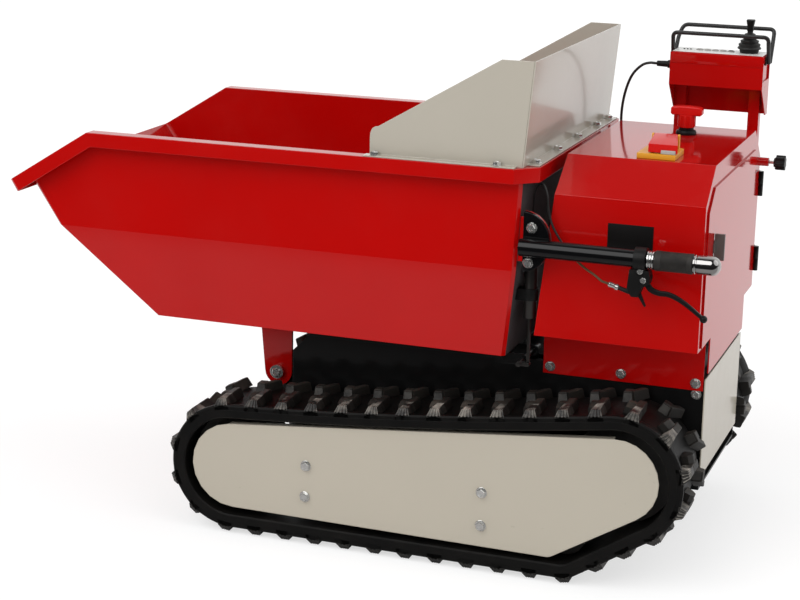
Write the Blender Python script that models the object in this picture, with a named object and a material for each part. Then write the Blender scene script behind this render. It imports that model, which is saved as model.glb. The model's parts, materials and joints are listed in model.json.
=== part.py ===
# Electric power barrow: a tracked mini dumper with a tipping skip and a battery hood.
# Metres. +X points forwards to the dumping lip, +Y to the machine's left, +Z up.
# The ground is z = 0 and the origin is under the middle of the machine.
import math

import bmesh
import bpy
from mathutils import Matrix, Vector

# Clearances and sheet
GAP = 0.0003
SHEET = 0.003

# Rubber tracks and their wheels
TRACK_PITCH = 0.072
TRACK_LINKS = 36
TRACK_WIDTH = 0.180
TRACK_MIDDLE_Y = 0.306
CELLS_PER_LINK = 4
BELT_THICKNESS = 0.023
LUG_HEIGHT = 0.022
LUG_TAPER = 0.78
OUTER_LUG_Y = (0.297, 0.390)
INNER_LUG_END = 0.262
CORD_DEPTH = 0.011
WHEEL_SEAT = 0.115
WHEEL_PLAY = 0.0008
ROLLER_SEAT = 0.045
ROLLER_PLAY = 0.0015
SPROCKET_X = -0.616
SPROCKET_Z = 0.248
SPROCKET_TEETH = 11
SPROCKET_ROOT = 0.098
SPROCKET_WIDTH = 0.025
REAR_ROLLER_X = -0.500
ROLLERS = 3
TOP_RUN_SAG = 0.011
AXLE_RADIUS = 0.008
SHAFT_RADIUS = 0.0125
WHEEL_WIDTH = 0.060
HUB_WIDTH = 0.070
RUNNING_SIDE = 0.003

# Track beams, their cross tubes and the cover plates
CHEEK = 0.006
BEAM_BOTTOM = 0.075
BEAM_TOP = 0.200
BEAM_FRONT = 0.150
BEAM_ARM_RADIUS = 0.025
TUBE_SIZE = 0.050
TUBE_TOP = 0.195
FRONT_TUBE_X = 0.100
REAR_TUBE_X = -0.350
COVER_OUTER_Y = 0.387
COVER_FRONT_RADIUS = 0.099
COVER_REAR_RADIUS = 0.093
COVER_FOOT_RADIUS = 0.028
COVER_FOOT = (-0.470, 0.083)
COVER_FOLD = 0.018
COVER_BOSS_RADIUS = 0.012
COVER_BOLTS = ((0.089, 0.185), (0.091, 0.112), (-0.322, 0.181), (-0.322, 0.105))

# Chassis box
CHASSIS_REAR = -0.757
CHASSIS_FRONT = 0.200
CHASSIS_HALF = 0.200
CHASSIS_BOTTOM = 0.185
CHASSIS_TOP = 0.437
CHASSIS_CHAMFER = 0.046
CHASSIS_WALL = 0.005
SHAFT_HOLE = 0.025
MOTOR_RADIUS = 0.055
MOTOR_INNER_Y = 0.020
GEARBOX_Y = 0.105
SHAFT_END_Y = 0.330

# Tipping pivot
PIVOT_X = 0.256
PIVOT_Z = 0.322
PIN_RADIUS = 0.010
PIN_HEAD = 0.015
LUG_INNER_Y = 0.130
LUG_PLATE = 0.012
LUG_RADIUS = 0.030
LUG_FOOT = 0.104
EAR_INNER_Y = 0.146
EAR_PLATE = 0.008
EAR_RADIUS = 0.034
EAR_TOP_WIDTH = 0.080

# Skip, all on the upper or inner face of its sheet
SKIP_FLOOR = 0.477
SKIP_FLOOR_REAR = -0.343
SKIP_FLOOR_FRONT = 0.485
SKIP_FLOOR_HALF = 0.324
SKIP_CREASE = 0.672
SKIP_CREASE_REAR = -0.368
SKIP_CREASE_FRONT = 0.714
SKIP_HALF = 0.352
SKIP_TOP_REAR = -0.379
RIM_TOP = 0.895
RIM_KINK_X = 0.624
FLOOR_KINK_X = 0.300
CREASE_KINK_X = 0.500
RIM_SLOPE = math.radians(31.9)
RIM_FRONT_X = 0.793
RIM_REAR = -0.414
RIM_HALF = 0.385
LIP_X = 0.823
RIM_RETURN = 0.032
RIM_REAR_CUT = 0.045
CORNER_CUT = 0.006

# Skip subframe
RAIL_INNER_Y = 0.130
RAIL_OUTER_Y = 0.170
RAIL_DEPTH = 0.020
RAIL_REAR = -0.330
RAIL_FRONT = 0.440
BAR_WIDTH = 0.040
FRONT_BAR_X = 0.400
BUFFER_X = -0.290

# Spill guards
GUARD_INSET = 0.022
GUARD_OUTER_Y = RIM_HALF - GUARD_INSET
GUARD_FRONT = -0.043
GUARD_SHOULDER = (-0.061, 0.958)
GUARD_PEAK_X = -0.330
GUARD_TOP = 1.117
GUARD_LEAN = 0.019
GUARD_FLANGE_FRONT = -0.035
GUARD_FLANGE_REAR = -0.370
GUARD_FLANGE_INSET = 0.001
GUARD_FLANGE_EDGE = RIM_HALF - GUARD_FLANGE_INSET
GUARD_REAR_FLANGE = 0.030

# Handle on the left of the skip
HANDLE_Y = 0.370
HANDLE_Z = 0.729
TUBE_RADIUS = 0.019
TUBE_FRONT = -0.384
TUBE_REAR = -0.655
FERRULE_END = -0.672
FERRULE_RADIUS = 0.0195
SPIGOT_RADIUS = 0.0125
SPIGOT_END = -0.800
GRIP_RADIUS = 0.021
GRIP_END = -0.751
BAR_END_RADIUS = 0.020
BAR_END_TIP = -0.8075
BRACKET_PLATE = 0.006
BRACKET_REACH = 0.058
BRACKET_HALF_HEIGHT = 0.064
BRACKET_FRONT = -0.386

# Release lever, cable and latch
LEVER_PIVOT = (-0.652, 0.688)
LEVER_LINE = ((-0.665, 0.668), (-0.684, 0.661), (-0.705, 0.660), (-0.736, 0.646), (-0.778, 0.616))
LEVER_THICKNESS = 0.008
LEVER_HUB = 0.009
LEVER_BALL = 0.008
LEVER_PIN = 0.004
PERCH_RADIUS = 0.025
PERCH_WIDTH = 0.0245
FORK_HALF = 0.014
ADJUSTER_START = (-0.625, 0.656)
ADJUSTER_END = (-0.577, 0.670)
ADJUSTER_RADIUS = 0.005
CABLE_RADIUS = 0.0025
LATCH_X = -0.391
LATCH_Y = 0.300
LATCH_TUBE_RADIUS = 0.014
LATCH_TUBE_BOTTOM = 0.560
LATCH_TUBE_TOP = 0.700
COLLAR_BOTTOM = 0.600
COLLAR_TOP = 0.625
COLLAR_RADIUS = 0.018
ROD_RADIUS = 0.004
ROD_TOP = 0.680
ROD_RISE_ROOM = 0.010
HOOK_SHAFT = (-0.372, 0.455)
HOOK_SHAFT_RADIUS = 0.006
HOOK_SHAFT_Y = (0.150, 0.310)
HOOK_Y = 0.170
HOOK_EAR_Y = (0.190, 0.270)
CRANK_TIP_RADIUS = 0.0045
HOOK_SLOT_X = (-0.400, -0.325)
CRANK_WIDTH = 0.012
CRANK_ROOT = 0.004
HOOK_PLATE = 0.008
HOOK_STEM = 0.006
HOOK_REACH = 0.034
HOOK_DEPTH = 0.008
HOOK_PLAY = 0.0008

# Battery hood
HOOD_HALF = 0.3161
HOOD_TOP_HALF = 0.2325
HOOD_BOTTOM = 0.5256
HOOD_CREASE = 0.8365
HOOD_CHAMFER_RISE = 0.0723
HOOD_TOP = HOOD_CREASE + HOOD_CHAMFER_RISE
HOOD_REAR = -0.760
HOOD_FRONT_BOTTOM = -0.406
HOOD_FRONT_CREASE = -0.440
HOOD_FRONT_TOP = -0.443
HOOD_FLANGE_HALF = 0.1925
DOORWAY_HALF = 0.245
DOORWAY_DROP = 0.0165
SKIRT_FRONT = -0.399
SKIRT_REAR = -0.755
SKIRT_BOTTOM = 0.411
COVER_HALF = 0.205
COVER_BOTTOM = 0.215
COVER_TOP = 0.438
CAP_X = -0.516
CAP_Y = -0.285
CAP_RADIUS = 0.012
CAP_HEIGHT = 0.009

# Battery door, its hinges, latch and the star knob beside it
DOOR_DEPTH = 0.003
DOOR_HALF = 0.290
DOOR_TOP_DROP = 0.0448
DOOR_TOP = HOOD_TOP - DOOR_TOP_DROP
DOOR_SHOULDER_DROP = 0.056
DOOR_SHOULDER = DOOR_TOP - DOOR_SHOULDER_DROP
DOOR_SHOULDER_Y = -0.237
DOOR_LEG_HALF = 0.197
DOOR_LEG_TOP = 0.530
DOOR_BOTTOM = 0.450
DOOR_CHAMFER_INSET = 0.030
HINGE_Y = -0.302
HINGE_RADIUS = 0.0065
HINGE_PIN = 0.003
HINGE_LENGTH = 0.058
UPPER_HINGE_DROP = 0.063
UPPER_HINGE_Z = DOOR_SHOULDER - UPPER_HINGE_DROP
LOWER_HINGE_Z = 0.566
DOOR_LATCH_Y = 0.222
DOOR_LATCH_Z = 0.735
DOOR_LATCH_SHAFT = 0.008
LATCH_TONGUE = 0.020
FIN_HEIGHT = 0.056
FIN_REACH = 0.022
STUD_Y = -0.290
STUD_DROP = 0.0085
STUD_Z = HOOD_CREASE - STUD_DROP
STUD_RADIUS = 0.004
STUD_BOSS_RADIUS = 0.010
STUD_BOSS_END = -0.785
KNOB_FRONT = -0.797
KNOB_END = -0.823
KNOB_RADIUS = 0.018

# Control support and control box
POST_SIZE = 0.025
POST_Y = -0.290
REAR_POST_X = -0.7435
FRONT_POST_X = -0.572
POST_BOTTOM = 0.700
CRADLE_REAR = -0.7703
CRADLE_FRONT = -0.5565
CRADLE_FLOOR = 1.004
CRADLE_BACK_BOTTOM = 0.938
CRADLE_BACK_TOP = 1.060
CRADLE_CHEEK_TOP = 1.021
CRADLE_CHEEK_FOOT = 0.022
CRADLE_LIP_Y = -0.214
CRADLE_LIP_TOP = 1.079
BOX_TOP = 1.0803
PANEL_Y = -0.265
BUTTON_FIRST_X = -0.614
BUTTON_PITCH = 0.018
BUTTONS = 5
BUTTON_RADIUS = 0.0055
BUTTON_PROUD = 0.003
BUTTON_LENGTH = 0.0093
BUTTON_HOLE_DEPTH = 0.0083
STICK_X = -0.727
STICK_PIVOT_Z = 1.0903
DOME_RADIUS = 0.0228
BOOT_SIDES = 16
BOOT_RADIUS = 0.026
BOOT_WALL = 0.0008
BOOT_TOP = 1.125
STICK_TOP = 1.156
GLAND_RADIUS = 0.0095
GLAND_Z = 1.043
GLAND_END = -0.516
GUARD_ROD = 0.0045
GUARD_FOOT_Z = 1.0555
GUARD_FOOT_HEIGHT = 0.021
NEAR_BAR = (-0.235, 1.121)
FAR_BAR = (-0.315, 1.131)
KNEE_LEAN = 0.002
NEAR_BAR_LEAN = 0.003
FAR_BAR_LEAN = 0.011
CONTROL_CABLE = 0.0032
HOOD_GLAND_DROP = 0.0565
HOOD_GLAND = (-0.500, HOOD_CREASE - HOOD_GLAND_DROP)
HOOD_GLAND_RADIUS = 0.009
HOOD_GLAND_LENGTH = 0.022

# Isolator and switch on the hood
ISOLATOR = (-0.623, -0.115)
ISOLATOR_TRAVEL = 0.006
ISOLATOR_RADIUS = 0.020
ISOLATOR_BAR_HALF = 0.0355
ISOLATOR_BAR_WIDTH = 0.026
ISOLATOR_BAR_LOW = 0.0435
ISOLATOR_BAR_HEIGHT = 0.021
ISOLATOR_BAR_CORNER = 0.005
SWITCH_X = (-0.670, -0.588)
SWITCH_Y = (0.122, 0.219)
SWITCH_CORNER = 0.010
SWITCH_HEIGHT = 0.0112
SWITCH_TOP = HOOD_TOP + SWITCH_HEIGHT
FLAP_X = (-0.673, -0.6105)
FLAP_HINGE_X = (-0.654, -0.6065)
FLAP_Y = (0.1295, 0.212)
FLAP_FALL = 0.010
FLAP_CLEARANCE = 0.0025
FLAP_HEIGHT = 0.0275
FLAP_ROOT = 0.016
FLAP_WALL = 0.003
FLAP_Z = (SWITCH_TOP + FLAP_CLEARANCE, SWITCH_TOP + FLAP_CLEARANCE + FLAP_HEIGHT)
FLAP_HINGE_INSET = 0.0035
FLAP_HINGE = (FLAP_Y[0] + 0.0075, FLAP_Z[1] - FLAP_HINGE_INSET)
FLAP_PIN = 0.0025

# Battery and controller
BATTERY_X = (-0.740, -0.450)
BATTERY_HALF = 0.185
BATTERY_HEIGHT = 0.213
CONTROLLER_X = (-0.620, -0.500)
CONTROLLER_Z = (0.560, 0.680)
CONTROLLER_DEPTH = 0.050

# Worked-out places
TRACK_INNER_Y = TRACK_MIDDLE_Y - TRACK_WIDTH / 2
TRACK_OUTER_Y = TRACK_MIDDLE_Y + TRACK_WIDTH / 2
IDLER_Z = LUG_HEIGHT + BELT_THICKNESS + WHEEL_SEAT
ROLLER_Z = LUG_HEIGHT + BELT_THICKNESS + ROLLER_SEAT
BEAM_INNER_Y = TRACK_MIDDLE_Y - HUB_WIDTH / 2 - RUNNING_SIDE - CHEEK
BEAM_OUTER_Y = TRACK_MIDDLE_Y + HUB_WIDTH / 2 + RUNNING_SIDE + CHEEK
RAIL_TOP = SKIP_FLOOR - SHEET - GAP
RAIL_BOTTOM = RAIL_TOP - RAIL_DEPTH
GUARD_SEAT = RIM_TOP + GAP
PLATE_OUTER_Y = HANDLE_Y - TUBE_RADIUS
DOOR_FACE = HOOD_REAR - GAP - DOOR_DEPTH
HINGE_X = HOOD_REAR - GAP - HINGE_RADIUS
POST_FACE = REAR_POST_X - POST_SIZE / 2
CRADLE_BACK_Y = POST_Y - POST_SIZE / 2
BOX_REAR = CRADLE_REAR + SHEET + GAP
BOX_FRONT = CRADLE_FRONT - SHEET - GAP
BOX_FAR_Y = CRADLE_BACK_Y + SHEET + GAP
BOX_NEAR_Y = CRADLE_LIP_Y - SHEET - GAP
BOX_BOTTOM = CRADLE_FLOOR + SHEET + GAP

FINISHES = {
    "red_paint": ((0.50, 0.012, 0.016), 0.30, 0.0),
    "grey_paint": ((0.62, 0.60, 0.56), 0.35, 0.0),
    "black_paint": ((0.015, 0.015, 0.016), 0.40, 0.0),
    "black_plastic": ((0.02, 0.02, 0.02), 0.45, 0.0),
    "black_rubber": ((0.022, 0.021, 0.020), 0.80, 0.0),
    "red_plastic": ((0.62, 0.02, 0.02), 0.35, 0.0),
    "yellow_plastic": ((0.75, 0.48, 0.02), 0.40, 0.0),
    "zinc": ((0.60, 0.60, 0.58), 0.35, 1.0),
    "chrome": ((0.75, 0.75, 0.76), 0.15, 1.0),
    "cast_iron": ((0.06, 0.06, 0.06), 0.60, 0.6),
    "white_panel": ((0.75, 0.75, 0.73), 0.40, 0.0),
    "battery_case": ((0.05, 0.05, 0.055), 0.50, 0.0),
}
AXIS_FRAMES = {
    "X": (Vector((0, 1, 0)), Vector((0, 0, 1)), Vector((1, 0, 0))),
    "Y": (Vector((0, 0, 1)), Vector((1, 0, 0)), Vector((0, 1, 0))),
    "Z": (Vector((1, 0, 0)), Vector((0, 1, 0)), Vector((0, 0, 1))),
}


def finish(name):
    """The material of that name, made the first time it is asked for."""
    made = bpy.data.materials.get(name)
    if made:
        return made
    colour, roughness, metallic = FINISHES[name]
    made = bpy.data.materials.new(name)
    made.use_nodes = True
    shader = made.node_tree.nodes["Principled BSDF"]
    shader.inputs["Base Color"].default_value = (*colour, 1.0)
    shader.inputs["Roughness"].default_value = roughness
    shader.inputs["Metallic"].default_value = metallic
    made.diffuse_color = (*colour, 1.0)
    return made


def mesh_from(bm):
    """Turn a bmesh into a mesh with its faces pointing out."""
    bmesh.ops.recalc_face_normals(bm, faces=bm.faces)
    mesh = bpy.data.meshes.new("shape")
    bm.to_mesh(mesh)
    bm.free()
    return mesh


def add(name, mesh, material, origin=(0, 0, 0)):
    """Place a mesh made in world coordinates, with its origin where it turns."""
    mesh.transform(Matrix.Translation(-Vector(origin)))
    mesh.materials.clear()
    mesh.materials.append(finish(material))
    mesh.shade_smooth()
    mesh.set_sharp_from_angle(angle=math.radians(32))
    made = bpy.data.objects.new(name, mesh)
    made.location = origin
    bpy.context.collection.objects.link(made)
    return made


def evaluated(item):
    """A plain copy of an object's mesh with its modifiers applied; the object goes."""
    bpy.context.view_layer.update()
    graph = bpy.context.evaluated_depsgraph_get()
    result = bpy.data.meshes.new_from_object(item.evaluated_get(graph))
    bpy.data.objects.remove(item, do_unlink=True)
    return result


def loose(data):
    """A helper object that carries data through its modifiers."""
    item = bpy.data.objects.new("helper", data)
    bpy.context.collection.objects.link(item)
    return item


def boolean(mesh, tools, operation):
    """Join tools to a mesh or cut them from it, one after another."""
    for tool in tools:
        body = loose(mesh)
        cutter = loose(tool)
        modifier = body.modifiers.new("boolean", "BOOLEAN")
        modifier.operation = operation
        modifier.solver = "EXACT"
        modifier.object = cutter
        mesh = evaluated(body)
        bpy.data.objects.remove(cutter, do_unlink=True)
    return mesh


def joined(mesh, *tools):
    return boolean(mesh, tools, "UNION")


def cut(mesh, *tools):
    return boolean(mesh, tools, "DIFFERENCE")


def thickened(mesh, thickness):
    """Give a sheet its thickness on the side away from its faces."""
    item = loose(mesh)
    modifier = item.modifiers.new("sheet", "SOLIDIFY")
    modifier.thickness = thickness
    modifier.offset = -1.0
    modifier.use_even_offset = True
    return evaluated(item)


def prism(outline, axis, low, high):
    """A solid whose outline lies across an axis, from low to high along it."""
    place = {
        "X": lambda u, v, w: (w, u, v),
        "Y": lambda u, v, w: (u, w, v),
        "Z": lambda u, v, w: (u, v, w),
    }[axis]
    bm = bmesh.new()
    near = [bm.verts.new(place(u, v, low)) for u, v in outline]
    far = [bm.verts.new(place(u, v, high)) for u, v in outline]
    bm.faces.new(near)
    bm.faces.new(list(reversed(far)))
    for index in range(len(outline)):
        after = (index + 1) % len(outline)
        bm.faces.new((near[index], far[index], far[after], near[after]))
    return mesh_from(bm)


def box(x_range, y_range, z_range):
    (x0, x1), (y0, y1) = x_range, y_range
    return prism(((x0, y0), (x1, y0), (x1, y1), (x0, y1)), "Z", *z_range)


def side_box(x_range, y_range, z_range, side):
    """A box whose y values are mirrored for the right-hand side."""
    return box(x_range, tuple(sorted(side * y for y in y_range)), z_range)


def side_prism(outline, side, y_range):
    low, high = sorted(side * y for y in y_range)
    return prism(outline, "Y", low, high)


def turned(profile, axis, centre, sides=24, ring=False):
    """Turn a profile of (radius, station) points about an axis through centre."""
    first, second, along = AXIS_FRAMES[axis]
    middle = Vector(centre)
    bm = bmesh.new()
    rows = []
    for radius, station in profile:
        base = middle + along * station
        if radius == 0:
            rows.append([bm.verts.new(base)])
            continue
        row = []
        for step in range(sides):
            angle = 2 * math.pi * step / sides
            row.append(bm.verts.new(base + radius * (first * math.cos(angle) + second * math.sin(angle))))
        rows.append(row)
    pairs = list(zip(rows, rows[1:]))
    if ring:
        pairs.append((rows[-1], rows[0]))
    for low, high in pairs:
        for step in range(sides):
            after = (step + 1) % sides
            corners = [low[step % len(low)], low[after % len(low)]]
            corners += [high[after % len(high)], high[step % len(high)]]
            unique = list(dict.fromkeys(corners))
            if len(unique) > 2:
                bm.faces.new(unique)
    if not ring:
        for row in (rows[0], rows[-1]):
            if len(row) > 1:
                bm.faces.new(row)
    return mesh_from(bm)


def rod(radius, axis, centre, low, high, sides=16):
    """A plain round bar along an axis."""
    return turned(((radius, low), (radius, high)), axis, centre, sides)


def arc(centre, radius, start, end, steps):
    """Points on a circle from one angle in degrees to another."""
    points = []
    for step in range(steps + 1):
        angle = math.radians(start + (end - start) * step / steps)
        points.append((centre[0] + radius * math.cos(angle), centre[1] + radius * math.sin(angle)))
    return points


def tangent_angle(first, second):
    """Outward angle of the line that runs over two circles, walking clockwise."""
    (x0, z0, r0), (x1, z1, r1) = first, second
    bearing = math.atan2(z1 - z0, x1 - x0)
    return bearing + math.acos((r0 - r1) / math.hypot(x1 - x0, z1 - z0))


def arc_span(before, circle, after):
    """Start and end angle of a clockwise wrap over one of three circles."""
    start = tangent_angle(before, circle)
    end = tangent_angle(circle, after)
    while end > start:
        end -= 2 * math.pi
    return start, end


def wrapped(circles, steps):
    """The outline of a band that is drawn tight round a clockwise ring of circles."""
    points = []
    for index, circle in enumerate(circles):
        start, end = arc_span(circles[index - 1], circle, circles[(index + 1) % len(circles)])
        points += arc(circle[:2], circle[2], math.degrees(start), math.degrees(end), steps)
    return points


def smooth_route(points, spacing):
    """Evenly spaced points on a smooth curve through a route."""
    route = [Vector(point) for point in points]
    route = [2 * route[0] - route[1]] + route + [2 * route[-1] - route[-2]]
    dense = []
    for a, b, c, d in zip(route, route[1:], route[2:], route[3:]):
        for step in range(20):
            t = step / 20
            dense.append(0.5 * (2 * b + (c - a) * t + (2 * a - 5 * b + 4 * c - d) * t ** 2
                                + (3 * b - a - 3 * c + d) * t ** 3))
    dense.append(route[-2])
    lengths = [0.0]
    for before, after in zip(dense, dense[1:]):
        lengths.append(lengths[-1] + (after - before).length)
    count = max(2, round(lengths[-1] / spacing))
    result = []
    index = 0
    for step in range(count + 1):
        target = lengths[-1] * step / count
        while index < len(dense) - 2 and lengths[index + 1] < target:
            index += 1
        share = (target - lengths[index]) / (lengths[index + 1] - lengths[index])
        result.append(dense[index].lerp(dense[index + 1], share))
    return result


def rounded_path(points, radius, steps=3):
    """Replace the inner corners of a path by short curves."""
    path = [Vector(point) for point in points]
    result = [path[0]]
    for before, corner, after in zip(path, path[1:], path[2:]):
        start = corner + (before - corner).normalized() * radius
        end = corner + (after - corner).normalized() * radius
        for step in range(steps + 1):
            t = step / steps
            result.append(start.lerp(corner, t).lerp(corner.lerp(end, t), t))
    result.append(path[-1])
    return result


def tube_curve(points, radius, resolution):
    """A round tube with filled ends along a list of points."""
    curve = bpy.data.curves.new("tube", "CURVE")
    curve.dimensions = "3D"
    curve.bevel_depth = radius
    curve.bevel_resolution = resolution
    curve.use_fill_caps = True
    spline = curve.splines.new("POLY")
    spline.points.add(len(points) - 1)
    for slot, point in zip(spline.points, points):
        slot.co = (*point, 1.0)
    return curve


def add_cable(name, points, radius):
    curve = tube_curve(points, radius, 2)
    curve.materials.append(finish("black_rubber"))
    made = bpy.data.objects.new(name, curve)
    bpy.context.collection.objects.link(made)


def bent_rod(points, radius):
    return evaluated(loose(tube_curve(points, radius, 2)))


# Tracks


def track_circles(idler_x, offset):
    """Idler, rear roller and sprocket circles at a height above the belt's inner face."""
    return (
        (idler_x, IDLER_Z, WHEEL_SEAT + offset),
        (REAR_ROLLER_X, ROLLER_Z, ROLLER_SEAT + offset),
        (SPROCKET_X, SPROCKET_Z, WHEEL_SEAT + offset),
    )


def belt_samples(idler_x, offset, step):
    """Closely spaced (point, outward normal) pairs once round the belt."""
    idler, roller, sprocket = track_circles(idler_x, offset)
    span = math.hypot(idler[0] - sprocket[0], idler[1] - sprocket[1])
    droop = math.atan(4 * TOP_RUN_SAG / span)
    samples = []

    def add_arc(circle, start, end):
        count = max(4, int(abs(end - start) * circle[2] / step))
        for index in range(count + 1):
            angle = start + (end - start) * index / count
            normal = Vector((math.cos(angle), math.sin(angle)))
            samples.append((Vector(circle[:2]) + normal * circle[2], normal))

    roller_start, roller_end = arc_span(idler, roller, sprocket)
    add_arc(roller, roller_start, roller_end)
    sprocket_start, sprocket_end = arc_span(roller, sprocket, idler)
    add_arc(sprocket, sprocket_start, sprocket_end - droop)
    idler_start, idler_end = arc_span(sprocket, idler, roller)
    first, normal = samples[-1]
    heading = Vector((normal.y, -normal.x))
    angle = idler_start + droop
    last_normal = Vector((math.cos(angle), math.sin(angle)))
    last = Vector(idler[:2]) + last_normal * idler[2]
    reach = (last - first).dot(last_normal) / heading.dot(last_normal)
    corner = first + heading * reach
    count = int(span / step)
    for index in range(1, count):
        t = index / count
        slope = (corner - first).lerp(last - corner, t).normalized()
        samples.append((first.lerp(corner, t).lerp(corner.lerp(last, t), t), Vector((-slope.y, slope.x))))
    add_arc(idler, angle, idler_end)
    return samples


def loop_lengths(samples):
    """Distance along a closed loop at each sample, with the whole length last."""
    lengths = [0.0]
    for index, (point, _) in enumerate(samples):
        after = samples[(index + 1) % len(samples)][0]
        lengths.append(lengths[-1] + (after - point).length)
    return lengths


def solve_idler_x():
    """Idler place at which the belt's cord is exactly its links long."""
    low, high = 0.15, 0.40
    for _ in range(30):
        middle = (low + high) / 2
        if loop_lengths(belt_samples(middle, CORD_DEPTH, 0.004))[-1] < TRACK_LINKS * TRACK_PITCH:
            low = middle
        else:
            high = middle
    return (low + high) / 2


IDLER_X = solve_idler_x()


def belt_stations():
    """Cross-section places on the belt's cord, evenly spaced, several to a link."""
    samples = belt_samples(IDLER_X, CORD_DEPTH, 0.002)
    lengths = loop_lengths(samples)
    count = TRACK_LINKS * CELLS_PER_LINK
    stations = []
    index = 0
    for step in range(count):
        target = lengths[-1] * step / count
        while lengths[index + 1] < target:
            index += 1
        share = (target - lengths[index]) / (lengths[index + 1] - lengths[index])
        point, normal = samples[index]
        next_point, next_normal = samples[(index + 1) % len(samples)]
        stations.append((point.lerp(next_point, share), normal.lerp(next_normal, share).normalized()))
    return stations


def track_belt(name, side):
    """Endless rubber belt with lugs staggered between its inner and outer halves."""
    bm = bmesh.new()
    inner, outer = [], []
    for point, normal in belt_stations():
        low = point - normal * CORD_DEPTH
        high = point + normal * (BELT_THICKNESS - CORD_DEPTH)
        inner.append([bm.verts.new((low.x, side * y, low.y)) for y in (TRACK_INNER_Y, TRACK_OUTER_Y)])
        columns = (TRACK_INNER_Y, INNER_LUG_END, *OUTER_LUG_Y, TRACK_OUTER_Y)
        outer.append([bm.verts.new((high.x, side * y, high.y)) for y in columns])
    lugs = []
    for index in range(len(inner)):
        after = (index + 1) % len(inner)
        a, b = inner[index], inner[after]
        c, d = outer[index], outer[after]
        bm.faces.new((a[0], a[1], b[1], b[0]))
        cells = [bm.faces.new((c[row], d[row], d[row + 1], c[row + 1])) for row in range(4)]
        bm.faces.new((a[0], b[0], d[0], c[0]))
        bm.faces.new((a[1], c[4], d[4], b[1]))
        if index % CELLS_PER_LINK == 0:
            lugs.append(cells[2])
        if index % CELLS_PER_LINK == CELLS_PER_LINK // 2:
            lugs.append(cells[0])
    bmesh.ops.recalc_face_normals(bm, faces=bm.faces)
    bm.normal_update()
    raised = bmesh.ops.extrude_discrete_faces(bm, faces=lugs)["faces"]
    for face in raised:
        face.normal_update()
        normal = face.normal.copy()
        centre = face.calc_center_median()
        for vert in face.verts:
            reach = vert.co - centre
            across = Vector((0, reach.y, 0))
            vert.co = centre + across * 0.94 + (reach - across) * LUG_TAPER + normal * LUG_HEIGHT
    add(name, mesh_from(bm), "black_rubber")


def wheel_y(offset, side):
    return side * (TRACK_MIDDLE_Y + offset)


def idler(name, side):
    """Spoked front wheel with a wide rim, free on its axle."""
    rim = WHEEL_SEAT - WHEEL_PLAY
    bore = AXLE_RADIUS + GAP
    half, hub_half = WHEEL_WIDTH / 2, HUB_WIDTH / 2
    web, hub, lip = 0.006, 0.028, rim - 0.016
    right_side = [(bore, hub_half), (hub, hub_half), (hub, web), (lip, web), (lip, half), (rim, half)]
    profile = right_side + [(radius, -station) for radius, station in reversed(right_side)]
    centre = (IDLER_X, wheel_y(0, side), IDLER_Z)
    add(name, turned(profile, "Y", centre, 24, ring=True), "cast_iron", centre)


def roller_places():
    """Roller axle places, evenly spaced from the rear one to under the idler's edge."""
    spacing = (IDLER_X - REAR_ROLLER_X) / ROLLERS
    return [REAR_ROLLER_X + spacing * index for index in range(ROLLERS)]


def roller(name, x, side):
    radius = ROLLER_SEAT - ROLLER_PLAY
    bore = AXLE_RADIUS + GAP
    half = HUB_WIDTH / 2
    profile = [(bore, -half), (0.020, -half), (radius, -half + 0.006), (radius, half - 0.006),
               (0.020, half), (bore, half)]
    centre = (x, wheel_y(0, side), ROLLER_Z)
    add(name, turned(profile, "Y", centre, 16, ring=True), "cast_iron", centre)


def sprocket(name, side):
    """Toothed drive wheel, its teeth just clear of the belt's inner face."""
    tip = WHEEL_SEAT - WHEEL_PLAY
    outline = []
    for tooth in range(SPROCKET_TEETH):
        for share, radius in ((0.0, SPROCKET_ROOT), (0.36, SPROCKET_ROOT), (0.50, tip), (0.86, tip)):
            angle = 2 * math.pi * (tooth + share) / SPROCKET_TEETH
            outline.append((SPROCKET_X + radius * math.cos(angle), SPROCKET_Z + radius * math.sin(angle)))
    half = SPROCKET_WIDTH / 2
    disc = side_prism(outline, side, (TRACK_MIDDLE_Y - half, TRACK_MIDDLE_Y + half))
    centre = (SPROCKET_X, wheel_y(0, side), SPROCKET_Z)
    hub = rod(0.030, "Y", centre, -half - 0.008, half + 0.008, 20)
    bore = rod(SHAFT_RADIUS + GAP, "Y", centre, -WHEEL_WIDTH, WHEEL_WIDTH, 20)
    add(name, cut(joined(disc, hub), bore), "cast_iron", centre)


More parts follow.
